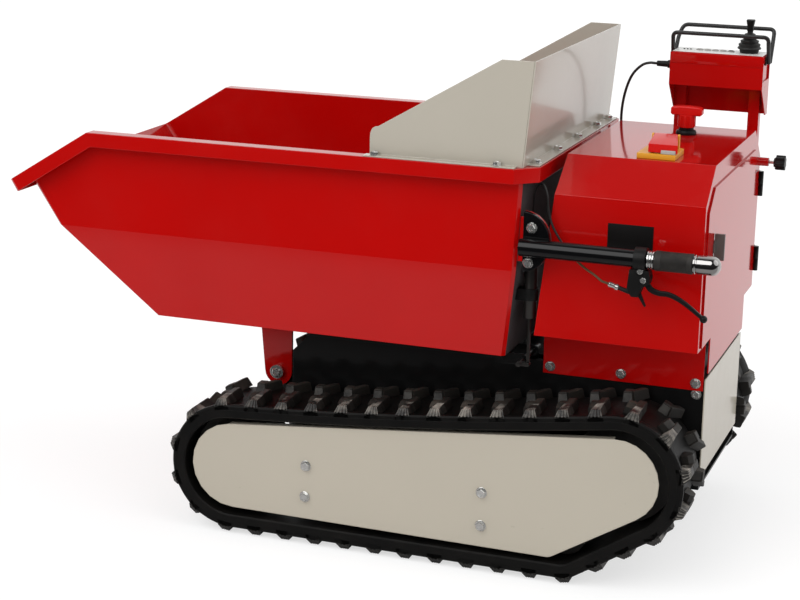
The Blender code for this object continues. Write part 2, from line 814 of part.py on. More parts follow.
def track_beam(name, side):
    """Inverted channel that carries the axles and stands on two cross tubes."""
    arm = BEAM_ARM_RADIUS
    rear = REAR_ROLLER_X - arm
    outline = [(rear, BEAM_BOTTOM), (BEAM_FRONT, BEAM_BOTTOM), (BEAM_FRONT + 0.05, IDLER_Z - arm)]
    outline += arc((IDLER_X, IDLER_Z), arm, -90, 90, 8)
    outline += [(BEAM_FRONT + 0.05, IDLER_Z + arm), (BEAM_FRONT, BEAM_TOP), (rear + 0.035, BEAM_TOP),
                (rear, ROLLER_Z + arm)]
    body = side_prism(outline, side, (BEAM_INNER_Y, BEAM_INNER_Y + CHEEK))
    parts = [side_prism(outline, side, (BEAM_OUTER_Y - CHEEK, BEAM_OUTER_Y))]
    top_y = (BEAM_INNER_Y + CHEEK / 2, BEAM_OUTER_Y - CHEEK / 2)
    top_x = (rear + 0.037, BEAM_FRONT - 0.002)
    parts.append(side_box(top_x, top_y, (BEAM_TOP - CHEEK, BEAM_TOP - 0.0002), side))
    low, high = sorted((side * (BEAM_INNER_Y + 0.001), side * (BEAM_OUTER_Y - 0.001)))
    parts.append(rod(AXLE_RADIUS, "Y", (IDLER_X, 0, IDLER_Z), low, high, 12))
    for x in roller_places():
        parts.append(rod(AXLE_RADIUS, "Y", (x, 0, ROLLER_Z), low, high, 12))
    for x in (FRONT_TUBE_X, REAR_TUBE_X):
        reach = (CHASSIS_HALF + GAP, BEAM_INNER_Y + CHEEK / 2)
        width = (x - TUBE_SIZE / 2, x + TUBE_SIZE / 2)
        parts.append(side_box(width, reach, (TUBE_TOP - TUBE_SIZE, TUBE_TOP), side))
    low, high = sorted((side * (BEAM_OUTER_Y - CHEEK / 2), side * (COVER_OUTER_Y - SHEET - GAP)))
    for x, z in COVER_BOLTS:
        parts.append(rod(COVER_BOSS_RADIUS, "Y", (x, 0, z), low, high, 12))
    add(name, joined(body, *parts), "black_paint")


def track_cover(name, side):
    """Flat side plate inside the belt's loop, its top edge folded inwards."""
    circles = (
        (IDLER_X, IDLER_Z, COVER_FRONT_RADIUS),
        (*COVER_FOOT, COVER_FOOT_RADIUS),
        (SPROCKET_X, SPROCKET_Z, COVER_REAR_RADIUS),
    )
    plate = side_prism(wrapped(circles, 10), side, (COVER_OUTER_Y - SHEET, COVER_OUTER_Y))
    angle = tangent_angle(circles[2], circles[0])
    normal = Vector((math.cos(angle), math.sin(angle)))
    rear = Vector(circles[2][:2]) + normal * circles[2][2]
    front = Vector(circles[0][:2]) + normal * circles[0][2]
    fold = [rear, front, front - normal * SHEET, rear - normal * SHEET]
    strip = side_prism(fold, side, (COVER_OUTER_Y - SHEET - COVER_FOLD, COVER_OUTER_Y - SHEET / 2))
    add(name, joined(plate, strip), "grey_paint")


def gear_motor(name, side):
    """Gear motor inside the chassis, its shaft out through the chassis side."""
    face = CHASSIS_HALF - CHASSIS_WALL - GAP
    narrow = MOTOR_RADIUS - 0.007
    profile = [(narrow - 0.008, MOTOR_INNER_Y), (narrow, MOTOR_INNER_Y + 0.004), (narrow, GEARBOX_Y),
               (MOTOR_RADIUS, GEARBOX_Y + 0.005), (MOTOR_RADIUS, face), (SHAFT_RADIUS, face),
               (SHAFT_RADIUS, SHAFT_END_Y)]
    profile = [(radius, side * y) for radius, y in profile]
    centre = (SPROCKET_X, 0, SPROCKET_Z)
    add(name, turned(profile, "Y", centre, 16), "battery_case", centre)


# Chassis


def chassis_outline(wall, rear):
    """Side outline of the chassis box, wall metres inside its outer face."""
    front, top, bottom = CHASSIS_FRONT - wall, CHASSIS_TOP - wall, CHASSIS_BOTTOM + wall
    chamfer = CHASSIS_CHAMFER - wall * (2 - math.sqrt(2))
    return [(rear, bottom), (front, bottom), (front, top - chamfer), (front - chamfer, top), (rear, top)]


def chassis_frame():
    """Welded box, open at the rear, with pivot lugs, stop pads and its holes."""
    shell = prism(chassis_outline(0, CHASSIS_REAR), "Y", -CHASSIS_HALF, CHASSIS_HALF)
    inner_half = CHASSIS_HALF - CHASSIS_WALL
    hollow = prism(chassis_outline(CHASSIS_WALL, CHASSIS_REAR - 0.02), "Y", -inner_half, inner_half)
    parts = []
    pivot = (PIVOT_X, PIVOT_Z)
    lug = [(CHASSIS_FRONT - CHASSIS_WALL / 2, PIVOT_Z - LUG_FOOT / 2)]
    lug += arc(pivot, LUG_RADIUS, -75, 75, 10)
    lug.append((CHASSIS_FRONT - CHASSIS_WALL / 2, PIVOT_Z + LUG_FOOT / 2))
    for side in (1, -1):
        parts.append(side_prism(lug, side, (LUG_INNER_Y, LUG_INNER_Y + LUG_PLATE)))
        pad_x = (BUFFER_X - BAR_WIDTH / 2, BUFFER_X + BAR_WIDTH / 2)
        pad_z = (CHASSIS_TOP - CHASSIS_WALL / 2, RAIL_BOTTOM - GAP)
        parts.append(side_box(pad_x, (RAIL_INNER_Y, RAIL_OUTER_Y), pad_z, side))
    slot_y = (HOOK_Y - 0.015, HOOK_Y + 0.015)
    holes = [
        rod(PIN_RADIUS + GAP, "Y", (PIVOT_X, 0, PIVOT_Z), -CHASSIS_HALF, CHASSIS_HALF, 20),
        rod(SHAFT_HOLE, "Y", (SPROCKET_X, 0, SPROCKET_Z), -CHASSIS_HALF - 0.01, CHASSIS_HALF + 0.01, 24),
        box(HOOK_SLOT_X, slot_y, (CHASSIS_TOP - 0.02, CHASSIS_TOP + 0.02)),
    ]
    add("chassis_frame", cut(joined(cut(shell, hollow), *parts), *holes), "black_paint")


def tipping_pin():
    end = EAR_INNER_Y + EAR_PLATE + GAP
    profile = [(PIN_HEAD, -end - 0.010), (PIN_HEAD, -end), (PIN_RADIUS, -end), (PIN_RADIUS, end),
               (PIN_HEAD, end), (PIN_HEAD, end + 0.010)]
    add("tipping_pin", turned(profile, "Y", (PIVOT_X, 0, PIVOT_Z), 20), "zinc", (PIVOT_X, 0, PIVOT_Z))


# Skip and what is fixed to it


def rim_height(x):
    return RIM_TOP - max(0.0, x - RIM_KINK_X) * math.tan(RIM_SLOPE)


def skip_loop(ends, half, cuts, kink, height):
    """Ten points round the skip at one level, cut at the corners."""
    (rear, front), (rear_cut, front_cut) = ends, cuts
    left = [(rear, half - rear_cut), (rear + rear_cut, half), (kink, half), (front - front_cut, half),
            (front, half - front_cut)]
    right = [(x, -y) for x, y in reversed(left)]
    return [Vector((x, y, height(x))) for x, y in left + right]


def rim_return(point):
    """The lower edge of the folded rim under a point of its upper edge."""
    if point.x < RIM_KINK_X - CORNER_CUT:
        drop = Vector((0, 0, -1))
    elif point.x < RIM_KINK_X + CORNER_CUT:
        drop = Vector((-math.tan(RIM_SLOPE / 2), 0, -1))
    else:
        drop = Vector((-math.sin(RIM_SLOPE), 0, -math.cos(RIM_SLOPE)))
    return point + drop * RIM_RETURN


def rear_wall_x(z):
    """Outer face of the skip's lower rear wall at a height."""
    share = (z - SKIP_FLOOR) / (SKIP_CREASE - SKIP_FLOOR)
    return SKIP_FLOOR_REAR + (SKIP_CREASE_REAR - SKIP_FLOOR_REAR) * share - SHEET


def bracket_outline():
    """Half ellipse behind the skip, the same for the handle's plate and its seat."""
    points = []
    for step in range(13):
        angle = math.pi / 2 + math.pi * step / 12
        x = BRACKET_FRONT + BRACKET_REACH * math.cos(angle)
        points.append((x, HANDLE_Z + 0.009 + BRACKET_HALF_HEIGHT * math.sin(angle)))
    return points


def skip_tub():
    """Sheet steel skip with a sloping front, a flanged rim and a dumping lip."""
    cuts = (CORNER_CUT, CORNER_CUT)
    floor_ends = (SKIP_FLOOR_REAR, SKIP_FLOOR_FRONT)
    crease_ends = (SKIP_CREASE_REAR, SKIP_CREASE_FRONT)
    loops = [
        skip_loop(floor_ends, SKIP_FLOOR_HALF, cuts, FLOOR_KINK_X, lambda x: SKIP_FLOOR),
        skip_loop(crease_ends, SKIP_HALF, cuts, CREASE_KINK_X, lambda x: SKIP_CREASE),
        skip_loop((SKIP_TOP_REAR, RIM_FRONT_X), SKIP_HALF, cuts, RIM_KINK_X, rim_height),
        skip_loop((RIM_REAR, LIP_X), RIM_HALF, (RIM_REAR_CUT, CORNER_CUT), RIM_KINK_X, rim_height),
    ]
    loops.append([rim_return(point) for point in loops[-1]])
    bm = bmesh.new()
    rows = [[bm.verts.new(point) for point in loop] for loop in loops]
    floor = bm.faces.new(rows[0])
    for low, high in zip(rows, rows[1:]):
        for index in range(len(low)):
            after = (index + 1) % len(low)
            bm.faces.new((low[index], low[after], high[after], high[index]))
    bmesh.ops.recalc_face_normals(bm, faces=bm.faces)
    floor.normal_update()
    if floor.normal.z < 0:
        bmesh.ops.reverse_faces(bm, faces=bm.faces)
    mesh = bpy.data.meshes.new("skip")
    bm.to_mesh(mesh)
    bm.free()
    seat_y = (PLATE_OUTER_Y - 2 * BRACKET_PLATE - GAP, PLATE_OUTER_Y - BRACKET_PLATE - GAP)
    seat = prism(bracket_outline(), "Y", *seat_y)
    web_x = (BRACKET_FRONT - 0.001, SKIP_CREASE_REAR - SHEET / 2)
    web = box(web_x, seat_y, (SKIP_CREASE + 0.02, HANDLE_Z + 0.06))
    add("skip_tub", joined(thickened(mesh, SHEET), seat, web), "red_paint", (PIVOT_X, 0, PIVOT_Z))


def skip_subframe():
    """Two rails and two bars under the skip, with the pivot ears and the latch ears."""
    tip = 0.012
    rail = [(RAIL_REAR, RAIL_BOTTOM), (RAIL_FRONT - 2 * tip, RAIL_BOTTOM), (RAIL_FRONT, RAIL_BOTTOM + tip),
            (RAIL_FRONT, RAIL_TOP), (RAIL_REAR, RAIL_TOP)]
    ear = [(PIVOT_X - EAR_RADIUS, RAIL_BOTTOM + 0.004)]
    ear += arc((PIVOT_X, PIVOT_Z), EAR_RADIUS, 180, 360, 10)
    ear.append((PIVOT_X - EAR_RADIUS + EAR_TOP_WIDTH, RAIL_BOTTOM + 0.004))
    parts = []
    for side in (1, -1):
        parts.append(side_prism(rail, side, (RAIL_INNER_Y, RAIL_OUTER_Y)))
        parts.append(side_prism(ear, side, (EAR_INNER_Y, EAR_INNER_Y + EAR_PLATE)))
    inside = 0.0002
    bar_z = (RAIL_BOTTOM + inside, RAIL_TOP - inside)
    front = (FRONT_BAR_X - BAR_WIDTH / 2, FRONT_BAR_X + BAR_WIDTH / 2)
    parts.append(box(front, (-RAIL_OUTER_Y + inside, RAIL_OUTER_Y - inside), bar_z))
    rear_bar_y = (-RAIL_OUTER_Y - 0.030, HOOK_EAR_Y[1] + 0.010)
    rear_bar = box((RAIL_REAR + inside, RAIL_REAR + BAR_WIDTH), rear_bar_y, bar_z)
    outline = arc(HOOK_SHAFT, 2 * HOOK_SHAFT_RADIUS, 90, 270, 8)
    outline += [(RAIL_REAR + BAR_WIDTH / 2, HOOK_SHAFT[1] - 2 * HOOK_SHAFT_RADIUS),
                (RAIL_REAR + BAR_WIDTH / 2, HOOK_SHAFT[1] + 2 * HOOK_SHAFT_RADIUS)]
    for y in HOOK_EAR_Y:
        parts.append(prism(outline, "Y", y - EAR_PLATE / 2, y + EAR_PLATE / 2))
    pivot_hole = rod(PIN_RADIUS + GAP, "Y", (PIVOT_X, 0, PIVOT_Z), -CHASSIS_HALF, CHASSIS_HALF, 20)
    shaft_hole = rod(HOOK_SHAFT_RADIUS + GAP, "Y", (HOOK_SHAFT[0], 0, HOOK_SHAFT[1]), 0.10, 0.32, 16)
    mesh = cut(joined(rear_bar, *parts), pivot_hole, shaft_hole)
    add("skip_subframe", mesh, "red_paint", (PIVOT_X, 0, PIVOT_Z))


def guard_rear_x(z):
    """Front face of the leaning rear guard at a height."""
    return SKIP_TOP_REAR - 0.002 - GUARD_LEAN * (z - GUARD_SEAT) / (GUARD_TOP - GUARD_SEAT)


def guard_side(name, side):
    """Side spill guard: a sloping plate with a bent foot on the rim."""
    shoulder_x, shoulder_z = GUARD_SHOULDER
    outline = [(guard_rear_x(GUARD_SEAT) + GAP, GUARD_SEAT), (GUARD_FRONT, GUARD_SEAT)]
    corner = (GUARD_FRONT, shoulder_z)
    start, end = (GUARD_FRONT, shoulder_z - 0.024), (shoulder_x, shoulder_z)
    for step in range(6):
        t = step / 5
        u = [a + (b - a) * t for a, b in zip(start, corner)]
        v = [a + (b - a) * t for a, b in zip(corner, end)]
        outline.append(tuple(a + (b - a) * t for a, b in zip(u, v)))
    outline += [(GUARD_PEAK_X, GUARD_TOP), (guard_rear_x(GUARD_TOP) + GAP, GUARD_TOP)]
    plate = side_prism(outline, side, (GUARD_OUTER_Y - SHEET, GUARD_OUTER_Y))
    foot_x = (GUARD_FLANGE_REAR, GUARD_FLANGE_FRONT)
    foot_y = (GUARD_OUTER_Y - SHEET / 2, GUARD_FLANGE_EDGE)
    foot = side_box(foot_x, foot_y, (GUARD_SEAT, GUARD_SEAT + SHEET), side)
    add(name, joined(plate, foot), "grey_paint", (PIVOT_X, 0, PIVOT_Z))


def guard_rear():
    low, high = guard_rear_x(GUARD_SEAT), guard_rear_x(GUARD_TOP)
    edge = low - GUARD_REAR_FLANGE
    outline = [(low, GUARD_SEAT), (high, GUARD_TOP), (high - SHEET, GUARD_TOP),
               (low - SHEET, GUARD_SEAT + SHEET), (edge, GUARD_SEAT + SHEET), (edge, GUARD_SEAT)]
    half = RIM_HALF - RIM_REAR_CUT - GUARD_REAR_FLANGE / 10
    low_part = prism(outline, "Y", -half, half)
    sheet = [(low, GUARD_SEAT), (high, GUARD_TOP), (high - SHEET, GUARD_TOP), (low - SHEET, GUARD_SEAT)]
    wings = prism(sheet, "Y", -GUARD_OUTER_Y, GUARD_OUTER_Y)
    add("guard_rear", joined(low_part, wings), "grey_paint", (PIVOT_X, 0, PIVOT_Z))


def handle_centre():
    return (0, HANDLE_Y, HANDLE_Z)


def handle_bar():
    """Side handle: a tube welded to a half-elliptic plate, with a spigot for the grip."""
    profile = [(SPIGOT_RADIUS, SPIGOT_END), (SPIGOT_RADIUS, FERRULE_END), (FERRULE_RADIUS, FERRULE_END),
               (FERRULE_RADIUS, TUBE_REAR), (TUBE_RADIUS, TUBE_REAR), (TUBE_RADIUS, TUBE_FRONT)]
    tube = turned(profile, "X", handle_centre(), 20)
    plate = prism(bracket_outline(), "Y", PLATE_OUTER_Y - BRACKET_PLATE, PLATE_OUTER_Y + 0.0005)
    add("handle_bar", joined(tube, plate), "black_paint", (PIVOT_X, 0, PIVOT_Z))


def handle_grip():
    bore = SPIGOT_RADIUS + GAP
    start, end = FERRULE_END - GAP, GRIP_END
    profile = [(bore, start), (GRIP_RADIUS, start), (GRIP_RADIUS, end + 0.008), (GRIP_RADIUS - 0.001, end),
               (bore, end)]
    add("handle_grip", turned(profile, "X", handle_centre(), 20, ring=True), "black_rubber")


def bar_end():
    bore = SPIGOT_RADIUS + GAP
    mouth = GRIP_END - GAP
    profile = [(0, SPIGOT_END - GAP), (bore, SPIGOT_END - GAP), (bore, mouth), (BAR_END_RADIUS, mouth),
               (BAR_END_RADIUS, SPIGOT_END + 0.006), (BAR_END_RADIUS * 0.86, SPIGOT_END - 0.002),
               (BAR_END_RADIUS * 0.45, BAR_END_TIP), (0, BAR_END_TIP)]
    add("bar_end", turned(profile, "X", handle_centre(), 20), "chrome")


def lever_perch():
    """Clamp ring with a fork for the lever and the cable adjuster in front of it."""
    px, pz = LEVER_PIVOT
    ring_rear = TUBE_REAR + GAP
    bore = TUBE_RADIUS + GAP
    ring = turned([(bore, ring_rear), (PERCH_RADIUS, ring_rear), (PERCH_RADIUS, ring_rear + PERCH_WIDTH),
                   (bore, ring_rear + PERCH_WIDTH)], "X", handle_centre(), 20, ring=True)
    top = HANDLE_Z - bore - 0.0017
    outline = [(px + 0.030, top), (px - 0.010, top), (px - 0.014, pz + 0.004), (px - 0.012, pz - 0.008),
               (px + 0.002, pz - 0.016), (px + 0.010, pz - 0.037), (px + 0.024, pz - 0.037),
               (px + 0.034, pz - 0.020)]
    fork = prism(outline, "Y", HANDLE_Y - FORK_HALF, HANDLE_Y + FORK_HALF)
    adjuster = bent_rod([(ADJUSTER_START[0], HANDLE_Y, ADJUSTER_START[1]),
                         (ADJUSTER_END[0], HANDLE_Y, ADJUSTER_END[1])], ADJUSTER_RADIUS)
    half = LEVER_THICKNESS / 2 + GAP
    slot_z = (pz - 0.05, pz + LEVER_HUB + 0.0015)
    slot = box((px - 0.05, px + 0.0095), (HANDLE_Y - half, HANDLE_Y + half), slot_z)
    hole = rod(LEVER_PIN + GAP, "Y", (px, 0, pz), HANDLE_Y - 0.03, HANDLE_Y + 0.03)
    add("lever_perch", cut(joined(fork, ring, adjuster), slot, hole), "black_plastic")


def release_lever():
    """Curved lever with a ball end, on a pin through the perch."""
    px, pz = LEVER_PIVOT
    line = [Vector(LEVER_PIVOT)] + [Vector(point) for point in LEVER_LINE]
    widths = (0.0065, 0.0055, 0.0055, 0.0055, 0.0045, 0.0035)
    upper, lower = [], []
    for index, point in enumerate(line):
        before = line[max(index - 1, 0)]
        after = line[min(index + 1, len(line) - 1)]
        heading = (after - before).normalized()
        normal = Vector((-heading.y, heading.x))
        upper.append(tuple(point + normal * widths[index]))
        lower.append(tuple(point - normal * widths[index]))
    half = LEVER_THICKNESS / 2
    blade = prism(upper + lower[::-1], "Y", HANDLE_Y - half, HANDLE_Y + half)
    hub = rod(LEVER_HUB, "Y", (px, 0, pz), HANDLE_Y - half + 0.0001, HANDLE_Y + half - 0.0001, 20)
    pin = rod(LEVER_PIN, "Y", (px, 0, pz), HANDLE_Y - FORK_HALF, HANDLE_Y + FORK_HALF, 12)
    ball_profile = [(LEVER_BALL * math.sin(math.pi * step / 6), -LEVER_BALL * math.cos(math.pi * step / 6))
                    for step in range(7)]
    ball_profile[0] = (0, -LEVER_BALL)
    ball_profile[-1] = (0, LEVER_BALL)
    tip = line[-1]
    ball = turned(ball_profile, "Y", (tip.x, HANDLE_Y, tip.y), 12)
    add("release_lever", joined(blade, hub, pin, ball), "black_plastic", (px, HANDLE_Y, pz))


def release_cable():
    """Cable from the lever's adjuster, inside the handle tube, into the latch tube."""
    start = Vector((ADJUSTER_END[0], HANDLE_Y, ADJUSTER_END[1]))
    heading = (start - Vector((ADJUSTER_START[0], HANDLE_Y, ADJUSTER_START[1]))).normalized()
    route = [
        start + heading * GAP,
        start + heading * 0.008,
        start + heading * 0.016,
        (-0.545, 0.364, 0.684),
        (-0.522, 0.353, 0.693),
        (-0.500, 0.344, 0.706),
        (-0.478, 0.341, 0.726),
        (-0.458, 0.338, 0.750),
        (-0.441, 0.333, 0.776),
        (-0.432, 0.329, 0.805),
        (-0.428, 0.325, 0.832),
        (-0.418, 0.318, 0.852),
        (-0.404, 0.309, 0.852),
        (-0.394, 0.303, 0.832),
        (LATCH_X, LATCH_Y, 0.800),
        (LATCH_X, LATCH_Y, 0.750),
        (LATCH_X, LATCH_Y, LATCH_TUBE_TOP + GAP),
    ]
    add_cable("release_cable", smooth_route(route, 0.0135), CABLE_RADIUS)


def latch_tube():
    """Upright guide tube for the latch rod, on a block on the skip's rear wall."""
    centre = (LATCH_X, LATCH_Y, 0)
    tube = turned([(LATCH_TUBE_RADIUS, LATCH_TUBE_BOTTOM), (LATCH_TUBE_RADIUS, LATCH_TUBE_TOP - 0.004),
                   (LATCH_TUBE_RADIUS - 0.004, LATCH_TUBE_TOP)], "Z", centre, 16)
    collar = rod(COLLAR_RADIUS, "Z", centre, COLLAR_BOTTOM, COLLAR_TOP, 16)
    low, high = COLLAR_BOTTOM + 0.0002, COLLAR_TOP - 0.0002
    outline = [(LATCH_X, low), (rear_wall_x(low) - GAP, low), (rear_wall_x(high) - GAP, high)]
    outline.append((LATCH_X, high))
    block = prism(outline, "Y", LATCH_Y - COLLAR_RADIUS * 0.9, LATCH_Y + COLLAR_RADIUS * 0.9)
    bore = rod(ROD_RADIUS + GAP, "Z", centre, LATCH_TUBE_BOTTOM - 0.01, ROD_TOP + ROD_RISE_ROOM, 16)
    add("latch_tube", cut(joined(tube, collar, block), bore), "zinc")


def latch_rod():
    bottom = HOOK_SHAFT[1] + CRANK_TIP_RADIUS + GAP
    profile = [(ROD_RADIUS - 0.001, bottom), (ROD_RADIUS, bottom + 0.001), (ROD_RADIUS, ROD_TOP)]
    add("latch_rod", turned(profile, "Z", (LATCH_X, LATCH_Y, 0), 16), "zinc", (LATCH_X, LATCH_Y, 0))


def latch_hook():
    """Cross shaft with a crank under the rod and a hook over the chassis."""
    sx, sz = HOOK_SHAFT
    shaft = rod(HOOK_SHAFT_RADIUS, "Y", (sx, 0, sz), *HOOK_SHAFT_Y)
    tip = arc((LATCH_X, sz), CRANK_TIP_RADIUS, 90, 270, 6)
    crank = [(sx, sz + CRANK_ROOT)] + tip + [(sx, sz - CRANK_ROOT)]
    arm = prism(crank, "Y", LATCH_Y - CRANK_WIDTH / 2, LATCH_Y + CRANK_WIDTH / 2)
    under = CHASSIS_TOP - CHASSIS_WALL - HOOK_PLAY
    nose = [(sx - HOOK_STEM, sz), (sx - HOOK_STEM, under - HOOK_DEPTH),
            (sx + HOOK_REACH, under - 0.75 * HOOK_DEPTH), (sx + HOOK_REACH - 0.25 * HOOK_DEPTH, under),
            (sx + HOOK_STEM + 0.25 * HOOK_DEPTH, under), (sx + HOOK_STEM, sz)]
    hook = prism(nose, "Y", HOOK_Y - HOOK_PLATE / 2, HOOK_Y + HOOK_PLATE / 2)
    add("latch_hook", joined(shaft, arm, hook), "zinc", (sx, LATCH_Y, sz))


# Hood


def hood_front_x(z):
    """Front face of the hood at a height."""
    if z <= HOOD_CREASE:
        share = (z - HOOD_BOTTOM) / (HOOD_CREASE - HOOD_BOTTOM)
        return HOOD_FRONT_BOTTOM + (HOOD_FRONT_CREASE - HOOD_FRONT_BOTTOM) * share
    share = (z - HOOD_CREASE) / (HOOD_TOP - HOOD_CREASE)
    return HOOD_FRONT_CREASE + (HOOD_FRONT_TOP - HOOD_FRONT_CREASE) * share


def chamfer_z(y):
    """Height of the hood's chamfer at a distance from the middle."""
    share = (HOOD_HALF - abs(y)) / (HOOD_HALF - HOOD_TOP_HALF)
    return HOOD_CREASE + (HOOD_TOP - HOOD_CREASE) * share


def hood_shell():
    """Chamfered sheet hood with a doorway, post holes, the star knob's boss and a cap."""
    section = [(-HOOD_FLANGE_HALF, HOOD_BOTTOM), (-HOOD_HALF, HOOD_BOTTOM), (-HOOD_HALF, HOOD_CREASE),
               (-HOOD_TOP_HALF, HOOD_TOP), (HOOD_TOP_HALF, HOOD_TOP), (HOOD_HALF, HOOD_CREASE),
               (HOOD_HALF, HOOD_BOTTOM), (HOOD_FLANGE_HALF, HOOD_BOTTOM)]
    bm = bmesh.new()
    front = [bm.verts.new((hood_front_x(z), y, z)) for y, z in section]
    rear = [bm.verts.new((HOOD_REAR, y, z)) for y, z in section]
    for index in range(len(section) - 1):
        bm.faces.new((front[index], front[index + 1], rear[index + 1], rear[index]))
    bm.faces.new([front[index] for index in (0, 1, 2, 5, 6, 7)])
    bm.faces.new([front[index] for index in (2, 3, 4, 5)])
    bm.faces.new(rear)
    bmesh.ops.recalc_face_normals(bm, faces=bm.faces)
    top = max(bm.faces, key=lambda face: face.calc_center_median().z)
    top.normal_update()
    if top.normal.z < 0:
        bmesh.ops.reverse_faces(bm, faces=bm.faces)
    mesh = bpy.data.meshes.new("hood")
    bm.to_mesh(mesh)
    bm.free()
    boss = rod(STUD_BOSS_RADIUS, "X", (0, STUD_Y, STUD_Z), STUD_BOSS_END, HOOD_REAR + SHEET / 2, 20)
    slope = Vector((0, -(HOOD_TOP - HOOD_CREASE), HOOD_HALF - HOOD_TOP_HALF)).normalized()
    cap = turned([(CAP_RADIUS, -SHEET / 2), (CAP_RADIUS, CAP_HEIGHT * 0.6), (CAP_RADIUS * 0.7, CAP_HEIGHT)],
                 "Z", (0, 0, 0), 16)
    tilt = Vector((0, 0, 1)).rotation_difference(slope).to_matrix().to_4x4()
    cap.transform(Matrix.Translation((CAP_X, CAP_Y, chamfer_z(CAP_Y))) @ tilt)
    doorway_x = (HOOD_REAR - 0.02, HOOD_REAR + 0.01)
    doorway_z = (HOOD_BOTTOM - 0.02, HOOD_CREASE - DOORWAY_DROP)
    holes = [box(doorway_x, (-DOORWAY_HALF, DOORWAY_HALF), doorway_z)]
    reach = POST_SIZE / 2 + GAP
    hole_y = (POST_Y - reach, POST_Y + reach)
    for x in (REAR_POST_X, FRONT_POST_X):
        holes.append(box((x - reach, x + reach), hole_y, (HOOD_CREASE - 0.03, HOOD_TOP)))
    stud = (0, STUD_Y, STUD_Z)
    holes.append(rod(STUD_RADIUS + GAP, "X", stud, STUD_BOSS_END - 0.01, POST_FACE - GAP, 16))
    add("hood_shell", cut(joined(thickened(mesh, SHEET), boss, cap), *holes), "red_paint")


def hood_skirt():
    """Three-sided sheet that carries the hood and straddles the chassis."""
    inner, outer = CHASSIS_HALF + GAP, CHASSIS_HALF + GAP + SHEET
    top = HOOD_BOTTOM - GAP
    length = (SKIRT_REAR, SKIRT_FRONT)
    sides = [side_box(length, (inner, outer), (SKIRT_BOTTOM, top), side) for side in (1, -1)]
    front = box((SKIRT_FRONT - SHEET, SKIRT_FRONT - 0.0001), (-outer + 0.001, outer - 0.001),
                (CHASSIS_TOP + GAP, top - 0.0001))
    add("hood_skirt", joined(front, *sides), "red_paint")


def rear_cover():
    face = CHASSIS_REAR - GAP
    plate = box((face - SHEET, face), (-COVER_HALF, COVER_HALF), (COVER_BOTTOM, COVER_TOP))
    add("rear_cover", plate, "grey_paint")


def door_outline():
    """Door outline in y and z, counter-clockwise, with the shoulder beside the star knob."""
    direction = Vector((HOOD_TOP_HALF - HOOD_HALF, HOOD_TOP - HOOD_CREASE)).normalized()
    base = Vector((HOOD_HALF, HOOD_CREASE)) - Vector((direction.y, -direction.x)) * DOOR_CHAMFER_INSET
    low = base + direction * ((DOOR_HALF - base.x) / direction.x)
    high = base + direction * ((DOOR_TOP - base.y) / direction.y)
    return [(-DOOR_LEG_HALF, DOOR_BOTTOM), (DOOR_LEG_HALF, DOOR_BOTTOM), (DOOR_LEG_HALF, DOOR_LEG_TOP),
            (DOOR_HALF, DOOR_LEG_TOP), tuple(low), tuple(high), (DOOR_SHOULDER_Y, DOOR_TOP),
            (DOOR_SHOULDER_Y, DOOR_SHOULDER), (-DOOR_HALF, DOOR_SHOULDER), (-DOOR_HALF, DOOR_LEG_TOP),
            (-DOOR_LEG_HALF, DOOR_LEG_TOP)]


def battery_door():
    """Door plate that lies on the rear of the hood, with its two hinge knuckles and the latch hole."""
    inner_face = HOOD_REAR - GAP
    mesh = prism(door_outline(), "X", DOOR_FACE, inner_face)
    centre = (HINGE_X, HINGE_Y, 0)
    for base in (UPPER_HINGE_Z, LOWER_HINGE_Z):
        top = base + HINGE_LENGTH / 2 - GAP
        knuckle = rod(HINGE_RADIUS, "Z", centre, base, top, 16)
        leaf = box((DOOR_FACE + 0.0001, inner_face - 0.0001), (HINGE_Y, -DOOR_HALF + SHEET / 2),
                   (base + 0.0001, top - 0.0001))
        bore = rod(HINGE_PIN + GAP, "Z", centre, base - 0.01, top + 0.01, 12)
        mesh = cut(joined(mesh, knuckle, leaf), bore)
    latch = (DOOR_FACE, DOOR_LATCH_Y, DOOR_LATCH_Z)
    hole = rod(DOOR_LATCH_SHAFT + GAP, "X", latch, -0.01, 0.01, 16)
    add("battery_door", cut(mesh, hole), "red_paint", (HINGE_X, HINGE_Y, 0.70))


def hinge(name, base):
    """Fixed half of a door hinge: leaf, upper knuckle and the pin below it."""
    middle = base + HINGE_LENGTH / 2
    centre = (HINGE_X, HINGE_Y, 0)
    knuckle = rod(HINGE_RADIUS, "Z", centre, middle, base + HINGE_LENGTH, 16)
    pin = rod(HINGE_PIN, "Z", centre, base + 0.0005, middle + 0.001, 12)
    face = HOOD_REAR - GAP
    leaf_z = (middle + 0.0001, base + HINGE_LENGTH - 0.0001)
    leaf = box((face - 0.0022, face), (HINGE_Y - 0.013, HINGE_Y), leaf_z)
    add(name, joined(knuckle, pin, leaf), "black_paint")


def door_latch():
    """Quarter-turn latch: fin outside, shaft through the door and a tongue inside."""
    y, z = DOOR_LATCH_Y, DOOR_LATCH_Z
    outer = DOOR_FACE - GAP
    profile = [(0.014, outer - 0.003), (0.014, outer), (DOOR_LATCH_SHAFT, outer),
               (DOOR_LATCH_SHAFT, DOOR_FACE + 0.009)]
    body = turned(profile, "X", (0, y, z), 20)
    fin_z = (z - FIN_HEIGHT / 2, z + FIN_HEIGHT / 2)
    fin = box((outer - FIN_REACH, outer - 0.001), (y - 0.004, y + 0.004), fin_z)
    tongue = box((DOOR_FACE + 0.0055, DOOR_FACE + 0.0085), (y - 0.006, y + LATCH_TONGUE),
                 (z - 0.006, z + 0.006))
    add("door_latch", joined(body, fin, tongue), "black_plastic", (DOOR_FACE, DOOR_LATCH_Y, DOOR_LATCH_Z))


